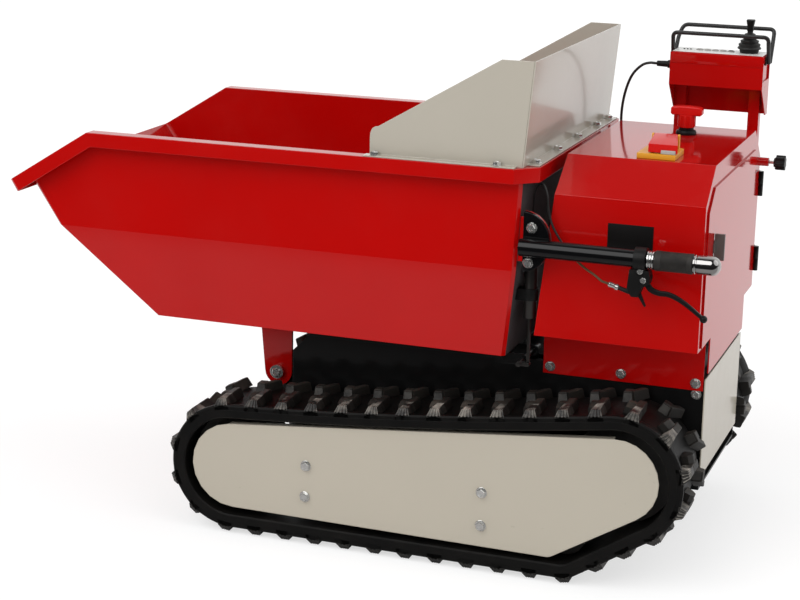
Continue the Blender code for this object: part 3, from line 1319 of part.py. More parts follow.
def star_knob():
    """Seven-lobed knob on the stud that clamps the control support's post."""
    lobes = 7
    outline = []
    for step in range(lobes * 6):
        angle = 2 * math.pi * step / (lobes * 6)
        radius = KNOB_RADIUS - 0.0022 * (1 - math.cos(lobes * angle))
        outline.append((STUD_Y + radius * math.cos(angle), STUD_Z + radius * math.sin(angle)))
    centre = (0, STUD_Y, STUD_Z)
    head = prism(outline, "X", KNOB_END, KNOB_FRONT - 0.004)
    neck = rod(0.011, "X", centre, KNOB_FRONT - 0.006, KNOB_FRONT, 16)
    stud = rod(STUD_RADIUS, "X", centre, KNOB_FRONT - 0.002, POST_FACE - GAP, 12)
    add("star_knob", joined(head, neck, stud), "black_plastic", (KNOB_FRONT, STUD_Y, STUD_Z))


def hood_gland():
    x, z = HOOD_GLAND
    seat = -HOOD_HALF - GAP
    end, step = seat - HOOD_GLAND_LENGTH, seat - 0.010
    body = HOOD_GLAND_RADIUS - 0.001
    profile = [(0.006, end), (body, end + 0.004), (body, step), (HOOD_GLAND_RADIUS, step),
               (HOOD_GLAND_RADIUS, seat)]
    add("hood_gland", turned(profile, "Y", (x, 0, z), 12), "black_plastic")


# Controls


def control_support():
    """Two posts in the hood and the cradle that holds the control box."""
    reach = POST_SIZE / 2
    parts = []
    for x in (REAR_POST_X, FRONT_POST_X):
        parts.append(box((x - reach, x + reach), (POST_Y - reach + 0.0002, POST_Y + reach),
                         (POST_BOTTOM, CRADLE_FLOOR + SHEET / 2)))
    across = (CRADLE_REAR, CRADLE_FRONT)
    back_y = (CRADLE_BACK_Y, CRADLE_BACK_Y + SHEET)
    parts.append(box(across, back_y, (CRADLE_BACK_BOTTOM, CRADLE_BACK_TOP)))
    parts.append(box(across, (CRADLE_LIP_Y - SHEET, CRADLE_LIP_Y), (CRADLE_FLOOR + 0.0001, CRADLE_LIP_TOP)))
    inner = 0.0001
    low, high = CRADLE_BACK_Y + inner, CRADLE_LIP_Y - inner
    foot = CRADLE_BACK_BOTTOM + inner
    cheek = [(low, foot), (low + CRADLE_CHEEK_FOOT, foot), (high, CRADLE_FLOOR + 2 * inner),
             (high, CRADLE_CHEEK_TOP), (low, CRADLE_CHEEK_TOP)]
    for x in (CRADLE_REAR, CRADLE_FRONT - SHEET):
        parts.append(prism(cheek, "X", x + inner, x + SHEET - inner))
    floor = box(across, (CRADLE_BACK_Y + 0.0003, CRADLE_LIP_Y), (CRADLE_FLOOR, CRADLE_FLOOR + SHEET))
    add("control_support", joined(floor, *parts), "red_paint")


def sphere_profile(radius, low, high, steps):
    """Profile points of a ball between two heights above its middle."""
    start, end = math.asin(low / radius), math.asin(high / radius)
    points = []
    for step in range(steps + 1):
        angle = start + (end - start) * step / steps
        points.append((radius * math.cos(angle), radius * math.sin(angle)))
    return points


def button_x(index):
    return BUTTON_FIRST_X - BUTTON_PITCH * index


def control_box():
    """Control box with its cable gland, button holes and the joystick's dome."""
    body = box((BOX_REAR, BOX_FRONT), (BOX_FAR_Y, BOX_NEAR_Y), (BOX_BOTTOM, BOX_TOP))
    gland = turned([(GLAND_RADIUS, BOX_FRONT - 0.002), (GLAND_RADIUS, BOX_FRONT + 0.018),
                    (GLAND_RADIUS - 0.002, BOX_FRONT + 0.019), (GLAND_RADIUS - 0.003, GLAND_END)],
                   "X", (0, PANEL_Y, GLAND_Z), 16)
    stick = (STICK_X, PANEL_Y, STICK_PIVOT_Z)
    drop = BOX_TOP - 0.001 - STICK_PIVOT_Z
    wall = sphere_profile(DOME_RADIUS, drop, 0.006, 3)
    dome = turned(wall + [(0.018, 0.006), (0.018, drop)], "Z", stick, 16, ring=True)
    places = [(button_x(index), PANEL_Y, BOX_TOP) for index in range(BUTTONS)]
    holes = [rod(BUTTON_RADIUS + GAP, "Z", place, -BUTTON_HOLE_DEPTH, 0.01, 14) for place in places]
    holes.append(rod(0.0023, "X", (0, PANEL_Y, STICK_PIVOT_Z), STICK_X - 0.030, STICK_X + 0.030, 12))
    add("control_box", cut(joined(body, gland, dome), *holes), "white_panel")


def buttons():
    for index in range(BUTTONS):
        top = BOX_TOP + BUTTON_PROUD
        profile = [(BUTTON_RADIUS, top - BUTTON_LENGTH), (BUTTON_RADIUS, top - 0.0006),
                   (BUTTON_RADIUS - 0.0006, top)]
        place = (button_x(index), PANEL_Y, 0)
        colour = "black_plastic" if index == BUTTONS - 1 else "red_plastic"
        add(f"button_{index + 1}", turned(profile, "Z", place, 14), colour, place)


def joystick():
    """Universal cross in the dome and the handle with its boot, tilting on it."""
    pivot = (STICK_X, PANEL_Y, STICK_PIVOT_Z)
    pin = 0.002
    ball = turned([(0.0035, -0.0045), (0.0055, 0), (0.0035, 0.0045)], "Z", pivot, 12)
    across = rod(pin, "X", (0, PANEL_Y, STICK_PIVOT_Z), STICK_X - 0.0195, STICK_X + 0.0195, 10)
    along = rod(pin, "Y", (STICK_X, 0, STICK_PIVOT_Z), PANEL_Y - 0.0100, PANEL_Y + 0.0100, 10)
    add("joystick_cross", joined(ball, across, along), "zinc", pivot)

    # The hollow is faceted, so its flats, not its corners, have to clear the dome.
    cavity = DOME_RADIUS / math.cos(math.pi / BOOT_SIDES) ** 2 + GAP
    top = BOOT_TOP - STICK_PIVOT_Z
    ribs = 5
    profile = [(cavity, 0), (BOOT_RADIUS, 0)]
    for step in range(2 * ribs):
        share = (step + 1) / (2 * ribs)
        height = (top - 0.002) * share
        radius = BOOT_RADIUS - 0.015 * share ** 1.3 - (0.0018 if step % 2 == 0 else 0.0)
        inner = math.sqrt(max(cavity ** 2 - height ** 2, 0))
        profile.append((max(radius, inner + BOOT_WALL), height))
    knob = STICK_TOP - STICK_PIVOT_Z
    profile += [(0.0060, top), (0.0060, knob - 0.026), (0.0095, knob - 0.022), (0.0115, knob - 0.004),
                (0.0100, knob), (0, knob)]
    hollow = list(reversed(sphere_profile(cavity, 0, 0.0225, 4)))
    inner = [(0, cavity)] + hollow[:-1]
    body = turned(inner + profile, "Z", pivot, BOOT_SIDES)
    fork = []
    for side in (1, -1):
        cheek = arc((STICK_X, STICK_PIVOT_Z), 0.0045, 180, 360, 6)
        cheek += [(STICK_X + 0.0045, STICK_PIVOT_Z + 0.0255), (STICK_X - 0.0045, STICK_PIVOT_Z + 0.0255)]
        low, high = sorted((PANEL_Y + side * 0.0062, PANEL_Y + side * 0.0092))
        fork.append(cut(prism(cheek, "Y", low, high),
                        rod(pin + GAP, "Y", (STICK_X, 0, STICK_PIVOT_Z), low - 0.002, high + 0.002, 10)))
    add("joystick_handle", joined(body, *fork), "black_plastic", pivot)


def guard_bars():
    """Two bent rods over the control box on a pair of foot plates."""
    front = BOX_FRONT + GAP + SHEET + GUARD_ROD - 0.0013
    rear = BOX_REAR - GAP - SHEET - GUARD_ROD + 0.0013
    foot_z = (GUARD_FOOT_Z, GUARD_FOOT_Z + GUARD_FOOT_HEIGHT)
    foot_y = (PANEL_Y - 0.022, PANEL_Y + 0.016)
    parts = [box((BOX_REAR - GAP - SHEET, BOX_REAR - GAP), foot_y, foot_z)]
    for (bar_y, bar_z), foot_shift, lean in ((NEAR_BAR, 0.004, NEAR_BAR_LEAN),
                                             (FAR_BAR, -0.012, FAR_BAR_LEAN)):
        start_y = PANEL_Y + foot_shift
        knee_y = start_y + (bar_y - start_y) * 0.7
        knee_z = GUARD_FOOT_Z + (bar_z - GUARD_FOOT_Z) * 0.68
        path = [(front, start_y, GUARD_FOOT_Z + 0.004), (front - KNEE_LEAN, knee_y, knee_z),
                (front - lean, bar_y, bar_z), (rear, bar_y, bar_z), (rear, knee_y, knee_z),
                (rear, start_y, GUARD_FOOT_Z + 0.004)]
        parts.append(bent_rod(rounded_path(path, 0.011), GUARD_ROD))
    plate = box((BOX_FRONT + GAP, BOX_FRONT + GAP + SHEET), foot_y, foot_z)
    add("guard_bars", joined(plate, parts[1], parts[0], parts[2]), "black_paint")


def control_cable():
    """Cable from the control box round the hood's far corner into its gland."""
    x, z = HOOD_GLAND
    end_y = -HOOD_HALF - GAP - HOOD_GLAND_LENGTH - GAP
    route = [
        (GLAND_END + GAP, PANEL_Y, GLAND_Z),
        (GLAND_END + 0.009, PANEL_Y, GLAND_Z),
        (GLAND_END + 0.018, PANEL_Y, GLAND_Z),
        (-0.480, -0.266, 1.036),
        (-0.458, -0.268, 1.012),
        (-0.442, -0.275, 0.972),
        (-0.432, -0.288, 0.922),
        (-0.429, -0.310, 0.872),
        (-0.435, -0.338, 0.832),
        (-0.452, -0.360, 0.805),
        (-0.478, -0.374, 0.788),
        (-0.494, -0.372, 0.781),
        (x, end_y - 0.024, z),
        (x, end_y - 0.012, z),
        (x, end_y, z),
    ]
    add_cable("control_cable", smooth_route(route, 0.0170), CONTROL_CABLE)


# Isolator, switch and what the hood holds


def isolator():
    x, y = ISOLATOR
    seat = HOOD_TOP + GAP
    neck = ISOLATOR_RADIUS - 0.0035
    bore = 0.0083
    base = [(bore, seat), (ISOLATOR_RADIUS + 0.001, seat), (ISOLATOR_RADIUS + 0.001, seat + 0.009),
            (neck, seat + 0.010), (neck, seat + 0.016), (bore, seat + 0.016)]
    add("isolator_base", turned(base, "Z", (x, y, 0), 16, ring=True), "black_plastic")

    skirt_bottom = seat + 0.010 + ISOLATOR_TRAVEL + GAP
    roof = seat + 0.016 + ISOLATOR_TRAVEL + GAP
    stem_bottom = seat + ISOLATOR_TRAVEL + GAP
    profile = [(0, stem_bottom), (0.008, stem_bottom), (0.008, roof), (neck + GAP, roof),
               (neck + GAP, skirt_bottom), (ISOLATOR_RADIUS, skirt_bottom)]
    for rib in range(3):
        level = skirt_bottom + 0.0055 + 0.0075 * rib
        profile += [(ISOLATOR_RADIUS, level), (ISOLATOR_RADIUS - 0.0015, level + 0.003)]
    low = HOOD_TOP + ISOLATOR_BAR_LOW
    high = low + ISOLATOR_BAR_HEIGHT
    profile += [(ISOLATOR_RADIUS, low - 0.002), (ISOLATOR_RADIUS - 0.002, low + 0.001), (0, low + 0.001)]
    half, corner = ISOLATOR_BAR_HALF, ISOLATOR_BAR_CORNER
    outline = [(x - half + corner, low), (x + half - corner, low), (x + half, low + corner),
               (x + half, high - corner), (x + half - corner, high), (x - half + corner, high),
               (x - half, high - corner), (x - half, low + corner)]
    reach = ISOLATOR_BAR_WIDTH / 2
    handle = prism(outline, "Y", y - reach, y + reach)
    neck_part = turned(profile, "Z", (x, y, 0), 16)
    add("isolator_key", joined(neck_part, handle), "red_plastic", (x, y, 0))


def flap_block(wall, low, high):
    """Block in the plan of the lid, set in by a wall, whose top falls away from the hinge."""
    plan = [(FLAP_HINGE_X[0] + wall, FLAP_Y[0]), (FLAP_HINGE_X[1] - wall, FLAP_Y[0]),
            (FLAP_X[1] - wall, FLAP_Y[1] - wall), (FLAP_X[0] + wall, FLAP_Y[1] - wall)]
    over = [(FLAP_Y[0] - 0.01, high + 0.01), (FLAP_Y[0] - 0.01, high + 0.005),
            (FLAP_Y[0] + FLAP_ROOT / 2, high), (FLAP_Y[1] + 0.001, high - FLAP_FALL),
            (FLAP_Y[1] + 0.001, high + 0.01)]
    trim = prism(over, "X", FLAP_X[0] - 0.01, FLAP_X[1] + 0.01)
    return cut(prism(plan, "Z", low, high), trim)


def switch():
    """Yellow switch plinth with the red flap hinged over its grey insert."""
    hinge_y, hinge_z = FLAP_HINGE
    rear, front = SWITCH_X
    far, near = SWITCH_Y
    plan = [(rear + SWITCH_CORNER, far), (front, far), (front, near), (rear, near)]
    plan.append((rear, far + SWITCH_CORNER))
    body = prism(plan, "Z", HOOD_TOP + GAP, SWITCH_TOP)
    swing = math.hypot(FLAP_Y[0] + FLAP_ROOT - hinge_y, hinge_z - FLAP_Z[0])
    insert_y = (hinge_y + swing + 2 * GAP, FLAP_Y[1] - 0.006)
    insert_z = (SWITCH_TOP - 0.001, SWITCH_TOP + 0.009)
    insert = box((FLAP_HINGE_X[0] - 0.002, FLAP_X[1] - 0.012), insert_y, insert_z)
    ears = []
    radius = 0.0045
    outline = [(hinge_y - radius, SWITCH_TOP - 0.001), (hinge_y + radius, SWITCH_TOP - 0.001)]
    outline += arc((hinge_y, hinge_z), radius, 0, 180, 6)
    for x in (FLAP_HINGE_X[0] - 0.0073, FLAP_HINGE_X[1] + 0.0009):
        ears.append(prism(outline, "X", x, x + 0.004))
    hole = rod(FLAP_PIN + GAP, "X", (0, hinge_y, hinge_z), SWITCH_X[0] - 0.01, SWITCH_X[1] + 0.01, 12)
    add("switch_base", cut(joined(body, insert, *ears), hole), "yellow_plastic")

    lid = flap_block(0, FLAP_Z[0], FLAP_Z[1])
    hollow = flap_block(FLAP_WALL, FLAP_Z[0] - 0.01, FLAP_Z[1] - FLAP_WALL)
    root = box((FLAP_X[0] - 0.01, FLAP_X[1] + 0.01), (FLAP_Y[0] - 0.01, FLAP_Y[0] + FLAP_ROOT),
               (FLAP_Z[0] - 0.02, FLAP_Z[1] + 0.01))
    pin = rod(FLAP_PIN, "X", (0, hinge_y, hinge_z), FLAP_HINGE_X[0] - 0.0060, FLAP_HINGE_X[1] + 0.0046, 12)
    origin = (sum(FLAP_X) / 2, hinge_y, hinge_z)
    add("switch_flap", joined(cut(lid, cut(hollow, root)), pin), "red_plastic", origin)


def battery_pack():
    base = CHASSIS_TOP + GAP
    body = box(BATTERY_X, (-BATTERY_HALF, BATTERY_HALF), (base, base + BATTERY_HEIGHT))
    lid = box((BATTERY_X[0] + 0.006, BATTERY_X[1] - 0.006), (-BATTERY_HALF + 0.006, BATTERY_HALF - 0.006),
              (base + BATTERY_HEIGHT - 0.001, base + BATTERY_HEIGHT + 0.008))
    add("battery_pack", joined(body, lid), "battery_case")


def controller():
    face = -HOOD_HALF + SHEET + GAP
    body = box(CONTROLLER_X, (face, face + CONTROLLER_DEPTH - 0.012), CONTROLLER_Z)
    fins = []
    count = 6
    pitch = (CONTROLLER_X[1] - CONTROLLER_X[0]) / count
    fin_y = (face + CONTROLLER_DEPTH - 0.014, face + CONTROLLER_DEPTH)
    fin_z = (CONTROLLER_Z[0] + 0.005, CONTROLLER_Z[1] - 0.005)
    for index in range(count):
        start = CONTROLLER_X[0] + pitch * (index + 0.3)
        fins.append(box((start, start + pitch * 0.4), fin_y, fin_z))
    add("controller", joined(body, *fins), "battery_case")


def build():
    for item in list(bpy.data.objects):
        bpy.data.objects.remove(item, do_unlink=True)
    for label, side in (("left", 1), ("right", -1)):
        track_beam(f"track_beam_{label}", side)
        track_belt(f"track_belt_{label}", side)
        track_cover(f"track_cover_{label}", side)
        gear_motor(f"gear_motor_{label}", side)
        sprocket(f"sprocket_{label}", side)
        idler(f"idler_{label}", side)
        for index, x in enumerate(roller_places()):
            roller(f"roller_{label}_{index + 1}", x, side)
        guard_side(f"guard_{label}", side)
    chassis_frame()
    tipping_pin()
    skip_tub()
    skip_subframe()
    guard_rear()
    handle_bar()
    handle_grip()
    bar_end()
    lever_perch()
    release_lever()
    release_cable()
    latch_tube()
    latch_rod()
    latch_hook()
    hood_shell()
    hood_skirt()
    rear_cover()
    battery_door()
    hinge("hinge_upper", UPPER_HINGE_Z)
    hinge("hinge_lower", LOWER_HINGE_Z)
    door_latch()
    star_knob()
    hood_gland()
    control_support()
    control_box()
    buttons()
    joystick()
    guard_bars()
    control_cable()
    isolator()
    switch()
    battery_pack()
    controller()


build()
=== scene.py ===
# Looks of the electric power barrow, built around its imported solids.
# Metres. +X points forwards to the dumping lip, +Y to the machine's left, +Z up.
import json
import math

import bmesh
import bpy
from mathutils import Matrix, Vector

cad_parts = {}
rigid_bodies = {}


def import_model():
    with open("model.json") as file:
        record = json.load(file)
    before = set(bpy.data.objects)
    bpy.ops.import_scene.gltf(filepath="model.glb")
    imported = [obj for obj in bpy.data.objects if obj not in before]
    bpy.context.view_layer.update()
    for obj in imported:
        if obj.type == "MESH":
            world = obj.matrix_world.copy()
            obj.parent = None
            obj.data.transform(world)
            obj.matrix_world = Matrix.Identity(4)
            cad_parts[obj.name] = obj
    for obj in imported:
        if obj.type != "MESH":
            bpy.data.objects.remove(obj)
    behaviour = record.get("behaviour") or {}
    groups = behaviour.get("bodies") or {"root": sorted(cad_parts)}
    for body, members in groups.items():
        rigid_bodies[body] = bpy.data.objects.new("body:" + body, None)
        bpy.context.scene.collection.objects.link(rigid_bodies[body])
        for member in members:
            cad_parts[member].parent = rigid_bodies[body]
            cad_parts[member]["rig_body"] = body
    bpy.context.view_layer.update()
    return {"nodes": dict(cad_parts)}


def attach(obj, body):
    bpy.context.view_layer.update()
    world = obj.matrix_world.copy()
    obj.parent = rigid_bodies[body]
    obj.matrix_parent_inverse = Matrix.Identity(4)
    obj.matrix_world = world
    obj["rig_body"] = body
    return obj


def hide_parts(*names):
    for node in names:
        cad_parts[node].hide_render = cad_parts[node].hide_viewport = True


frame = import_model()

# Camera of the photograph
CAMERA_PLACE = (-1.4930, 4.2133, 1.6677)
CAMERA_TARGET = (0.0115, 0.0, 0.482)
CAMERA_ROLL = math.radians(1.11)
CAMERA_LENS = 88.35

GAP = 0.0003
SIDES = (("left", 1), ("right", -1))
UP = Vector((0, 0, 1))
FORWARD = Vector((1, 0, 0))

# Rubber tracks
TRACK_LINKS = 36
LUG_STEPS = 8
EDGE_STEPS = 12
TRACK_MIDDLE_Y = 0.306
BELT_HALF = 0.090
BELT_THICKNESS = 0.023
CORD_DEPTH = 0.011
BELT_CROWN = BELT_THICKNESS - CORD_DEPTH
LUG_HEIGHT = 0.022
FLUTES = 4
EDGE_RISE = 0.0085
EDGE_SWELL = 0.0030
TOP_RUN_SAG = 0.011
IDLER = (0.2683, 0.160, 0.115)
REAR_ROLLER = (-0.500, 0.090, 0.045)
SPROCKET = (-0.616, 0.248, 0.115)
DISC_PLAY = 0.0015
DISC_OFFSET = 0.0128
DISC_THICKNESS = 0.003
COVER_Y = 0.387
COVER_BOLTS = ((0.089, 0.185), (0.091, 0.112), (-0.322, 0.181), (-0.322, 0.105))

# Hex bolts: across flats, head height and washer radius
M6 = (0.0100, 0.0040, 0.0062)
M10 = (0.0160, 0.0064, 0.0115)
M12 = (0.0180, 0.0075, 0.0125)
PIVOT_HEAD = (0.0190, 0.0050, 0.0165)

# Skip and its pivot
SKIP_HALF = 0.352
WELD_ROUTES = (((-0.0776, 0.7983), (-0.150, 0.800), (-0.230, 0.802), (-0.3700, 0.8044)),
               ((-0.0486, 0.7826), (-0.0370, 0.760), (-0.0344, 0.7351), (-0.0420, 0.712), (-0.0569, 0.6931)))
PIVOT = (0.256, 0.322)
GUARD_FOOT_TOP = 0.8983

# Handle, in x along the bar
HANDLE_Y = 0.370
HANDLE_Z = 0.729
BRACKET_Y = (0.345, 0.357)
TUBE_RADIUS = 0.019
TUBE_FRONT = -0.384
TUBE_REAR = -0.655
FERRULE_END = -0.672
GRIP_RADIUS = 0.021
GRIP_END = -0.751
GRIP_RINGS = 22
BAR_END_RADIUS = 0.0200
DOME_START = -0.789
BAR_END_TIP = -0.8075
LEVER_PIVOT = (-0.652, 0.688)
LEVER_HALF_WIDTH = 0.0040
BALL_RADIUS = 0.008
ADJUSTER_START = (-0.625, 0.656)
ADJUSTER_END = (-0.577, 0.670)
LEVER_LINE = ((-0.665, 0.668), (-0.684, 0.661), (-0.705, 0.660), (-0.736, 0.646), (-0.778, 0.616))

# Controls
PANEL_Y = -0.265
PANEL_TOP = 1.0803
BUTTON_FIRST_X = -0.614
BUTTON_PITCH = 0.018
BUTTON_COUNT = 5
STICK_X = -0.727
STICK_PIVOT_Z = 1.0903
KNOB_LOW = 1.130
STICK_TOP = 1.156
BOX_FRONT = -0.5598
BOX_REAR = -0.7670
LIP_FACE_Y = -0.214
GUARD_ROD = 0.0047
GUARD_FOOT_Z = 1.0555
NEAR_BAR = (-0.235, 1.121)
FAR_BAR = (-0.315, 1.131)
KNEE_LEAN = 0.002
NEAR_BAR_LEAN = 0.003
FAR_BAR_LEAN = 0.011

# Hood
HOOD_SIDE_Y = 0.3161
HOOD_TOP = 0.9088
SWITCH_TOP = 0.9200
SKIRT_BOLTS = ((-0.415, 0.2033, 0.427), (-0.574, 0.2033, 0.429), (-0.738, 0.2033, 0.427),
               (-0.740, 0.2000, 0.402))
ISOLATOR = (-0.623, -0.115)
ISOLATOR_TRAVEL = 0.006
ISOLATOR_BAR_HALF = 0.0355
ISOLATOR_BAR_WIDTH = 0.026
ISOLATOR_BAR_LOW = 0.0435
ISOLATOR_BAR_HEIGHT = 0.021
ISOLATOR_BAR_CROWN = 0.0045
ISOLATOR_RIBS = 10

# Where a part's second finish begins
REAR_WALL_X = -0.33
REAR_WALL_TOP = 0.86
RAIL_END_X = -0.30
CHARGE_CAP_X = (-0.532, -0.500)
CHARGE_CAP_Y = -0.26
CHARGE_CAP_Z = 0.845
DOOR_HINGE_Y = -0.2952
HINGE_BASE_Y = -0.3086
INSERT_Y = 0.150
STUD_X = -0.7968
COLLAR_Z = (0.599, 0.626)
PERCH_SEAT = (-0.600, 0.680)
BOOT_SEAT_X = -0.7005

# Looks, floor and room; the floor's reflection dims over two ranges of y, each by its share
SHEET_FACE_AREA = 0.0006
DUST_ROUGHNESS = 0.5
COAT_ROUGHNESS = 0.08
WHITE = (1.0, 1.0, 1.0, 1.0)
FLOOR_LIT = (0.90, 0.90, 0.90, 1.0)
FLOOR_SEEN = (0.42, 0.42, 0.42, 1.0)
FLOOR_MIRRORED = (0.02, 0.02, 0.02, 1.0)
FLOOR_GLOW = 0.64
FLOOR_DIMMING = ((0.0, 0.4, 0.55), (1.40, 1.60, 0.45))
FLOOR_HALF = 30
ROOM_LIGHT = 0.62
ROOM_MIRRORED = (0.15, -0.55, 0.03, 1.0)


# Shader node groups


def new_tree(name, kind, inputs, outputs):
    """An empty node group with inputs (name, kind, value) and outputs (name, kind)."""
    tree = bpy.data.node_groups.new(name, kind)
    for label, socket_kind, *value in inputs:
        socket = tree.interface.new_socket(label, in_out="INPUT", socket_type=f"NodeSocket{socket_kind}")
        if value:
            socket.default_value = value[0]
    for label, socket_kind in outputs:
        tree.interface.new_socket(label, in_out="OUTPUT", socket_type=f"NodeSocket{socket_kind}")
    return tree, tree.nodes.new("NodeGroupInput").outputs, tree.nodes.new("NodeGroupOutput").inputs


def fill(tree, node, inputs):
    """Give each named or numbered input a value or another node's output."""
    for label, value in inputs.items():
        if isinstance(value, bpy.types.NodeSocket):
            tree.links.new(value, node.inputs[label])
        else:
            node.inputs[label].default_value = value


def add_node(tree, kind, inputs=None, **settings):
    """A node with its settings made first and its inputs filled."""
    node = tree.nodes.new(kind)
    for label, value in settings.items():
        setattr(node, label, value)
    fill(tree, node, inputs or {})
    return node


def add_component(tree, coordinates, axis):
    """One component of the shaded point's coordinates or normal."""
    place = add_node(tree, "ShaderNodeTexCoord").outputs[coordinates]
    return add_node(tree, "ShaderNodeSeparateXYZ", {"Vector": place}).outputs[axis]


def add_noise(tree, scale, detail, roughness=0.5):
    """Noise on Object coordinates, about one half on average."""
    place = add_node(tree, "ShaderNodeTexCoord").outputs["Object"]
    noise = add_node(tree, "ShaderNodeTexNoise",
                     {"Vector": place, "Scale": scale, "Detail": detail, "Roughness": roughness})
    return noise.outputs["Fac"]


def add_range(tree, value, low, high, to_low=0.0, to_high=1.0):
    """A clamped map from low..high to new limits."""
    limits = {"Value": value, "From Min": low, "From Max": high, "To Min": to_low, "To Max": to_high}
    return add_node(tree, "ShaderNodeMapRange", limits).outputs["Result"]


def add_math(tree, operation, first, second):
    """A Math node; each operand is a socket or a number."""
    return add_node(tree, "ShaderNodeMath", {0: first, 1: second}, operation=operation).outputs["Value"]


def plus(tree, first, second):
    return add_math(tree, "ADD", first, second)


def times(tree, first, second):
    return add_math(tree, "MULTIPLY", first, second)


def add_mix(tree, factor, first, second):
    """A colour mix; each colour is a socket or four numbers."""
    return add_node(tree, "ShaderNodeMix", {0: factor, 6: first, 7: second}, data_type="RGBA").outputs[2]


def tone_drift_group():
    """Slow change of shade over a surface, as paint and rubber have."""
    tree, entry, leave = new_tree(
        "tone_drift", "ShaderNodeTree",
        (("Colour", "Color", WHITE), ("Drift", "Float", 0.08), ("Scale", "Float", 4.0)),
        (("Colour", "Color"),))
    centred = add_math(tree, "SUBTRACT", add_noise(tree, entry["Scale"], 4.0), 0.5)
    amount = times(tree, centred, entry["Drift"])
    value = plus(tree, times(tree, amount, 4.0), 1.0)
    shade = add_node(tree, "ShaderNodeHueSaturation", {"Color": entry["Colour"], "Value": value})
    tree.links.new(shade.outputs["Color"], leave["Colour"])
    return tree


def settled_dust_group():
    """Mask of dry dust, patchy and thicker on faces that look up; on the lug faces the same mask paints top
    light.
    """
    tree, entry, leave = new_tree(
        "dust_and_top_light", "ShaderNodeTree",
        (("Amount", "Float", 0.3), ("Scale", "Float", 6.0), ("Flat Faces", "Float", 0.8)),
        (("Mask", "Float"),))
    patches = add_range(tree, add_noise(tree, entry["Scale"], 8.0, 0.62), 0.42, 0.72)
    upward = add_range(tree, add_component(tree, "Normal", "Z"), 0.2, 0.9)
    flat = times(tree, upward, entry["Flat Faces"])
    share = plus(tree, flat, add_math(tree, "SUBTRACT", 1.0, entry["Flat Faces"]))
    amount = times(tree, times(tree, patches, share), entry["Amount"])
    tree.links.new(amount, leave["Mask"])
    return tree


def fine_relief_group():
    """Height and a roughness wobble of a fine-grained surface."""
    tree, entry, leave = new_tree(
        "fine_relief", "ShaderNodeTree",
        (("Grain", "Float", 400.0), ("Waves", "Float", 30.0), ("Wave Share", "Float", 0.3)),
        (("Height", "Float"), ("Wobble", "Float")))
    wave = times(tree, add_noise(tree, entry["Waves"], 1.0), entry["Wave Share"])
    grain = add_noise(tree, entry["Grain"], 2.0)
    tree.links.new(plus(tree, grain, wave), leave["Height"])
    slow = add_noise(tree, entry["Waves"], 6.0, 0.6)
    tree.links.new(add_math(tree, "SUBTRACT", slow, 0.5), leave["Wobble"])
    return tree


TONE_DRIFT = tone_drift_group()
DUST_AND_TOP_LIGHT = settled_dust_group()
FINE_RELIEF = fine_relief_group()


def place_group(tree, group, **values):
    """A group node in a material, with its inputs set by name."""
    inputs = {label.replace("_", " "): value for label, value in values.items()}
    return add_node(tree, "ShaderNodeGroup", inputs, node_tree=group).outputs


def make_finish(name, colour, roughness, metallic=0.0, coat=0.0, specular=0.5, drift=0.05,
                drift_scale=4.0, grain=400.0, waves=30.0, relief=0.03, wobble=0.12, dust_and_light=0.0,
                dust_and_light_scale=6.0, dust_and_light_colour=(0.42, 0.34, 0.25), flat_dust_and_light=0.8, above=None):
    """A finish with drifting tone, fine relief, uneven gloss and some dust; on the lug faces the dust
    settings paint top light.
    """
    made = bpy.data.materials.new(name)
    made.use_nodes = True
    made.diffuse_color = (*colour, 1.0)
    tree = made.node_tree
    surface = place_group(tree, TONE_DRIFT, Colour=(*colour, 1.0), Drift=drift, Scale=drift_scale)["Colour"]
    fine = place_group(tree, FINE_RELIEF, Grain=grain, Waves=waves)
    rough = plus(tree, times(tree, fine["Wobble"], wobble), roughness)
    if above:
        height, upper_colour = above
        share = add_range(tree, add_component(tree, "Object", "Z"), height - 0.002, height + 0.002)
        surface = add_mix(tree, share, surface, (*upper_colour, 1.0))
    if dust_and_light > 0:
        mask = place_group(tree, DUST_AND_TOP_LIGHT, Amount=dust_and_light, Scale=dust_and_light_scale, Flat_Faces=flat_dust_and_light)["Mask"]
        surface = add_mix(tree, mask, surface, (*dust_and_light_colour, 1.0))
        rough = plus(tree, rough, times(tree, mask, DUST_ROUGHNESS))
    bump = add_node(tree, "ShaderNodeBump",
                    {"Strength": relief, "Distance": 0.001, "Height": fine["Height"]})
    fill(tree, tree.nodes["Principled BSDF"], {
        "Base Color": surface, "Roughness": rough, "Metallic": metallic, "Coat Weight": coat,
        "Coat Roughness": COAT_ROUGHNESS, "Specular IOR Level": specular, "Normal": bump.outputs["Normal"]})
    return made


RED_PAINT = make_finish(
    "red_powder_coat", (0.43, 0.0020, 0.0015), 0.34, coat=1.0, drift=0.03, grain=900.0, waves=60.0,
    relief=0.04, dust_and_light=0.05, dust_and_light_scale=5.0, dust_and_light_colour=(0.50, 0.30, 0.26), specular=0.0)
SKIP_PAINT = make_finish(
    "red_skip_paint", (0.45, 0.0020, 0.0015), 0.34, coat=1.0, drift=0.04, grain=900.0, waves=60.0,
    relief=0.04, dust_and_light=0.42, dust_and_light_scale=7.0, dust_and_light_colour=(0.52, 0.34, 0.30), flat_dust_and_light=0.985, specular=0.0)
GREY_PAINT = make_finish(
    "warm_grey_paint", (0.46, 0.42, 0.345), 0.30, coat=0.30, drift=0.02, drift_scale=3.0, grain=900.0,
    relief=0.03, dust_and_light=0.05)
GUARD_PAINT = make_finish(
    "guard_grey_paint", (0.46, 0.425, 0.36), 0.20, coat=0.40, drift=0.02, grain=900.0, relief=0.02,
    dust_and_light=0.06, dust_and_light_scale=20.0)
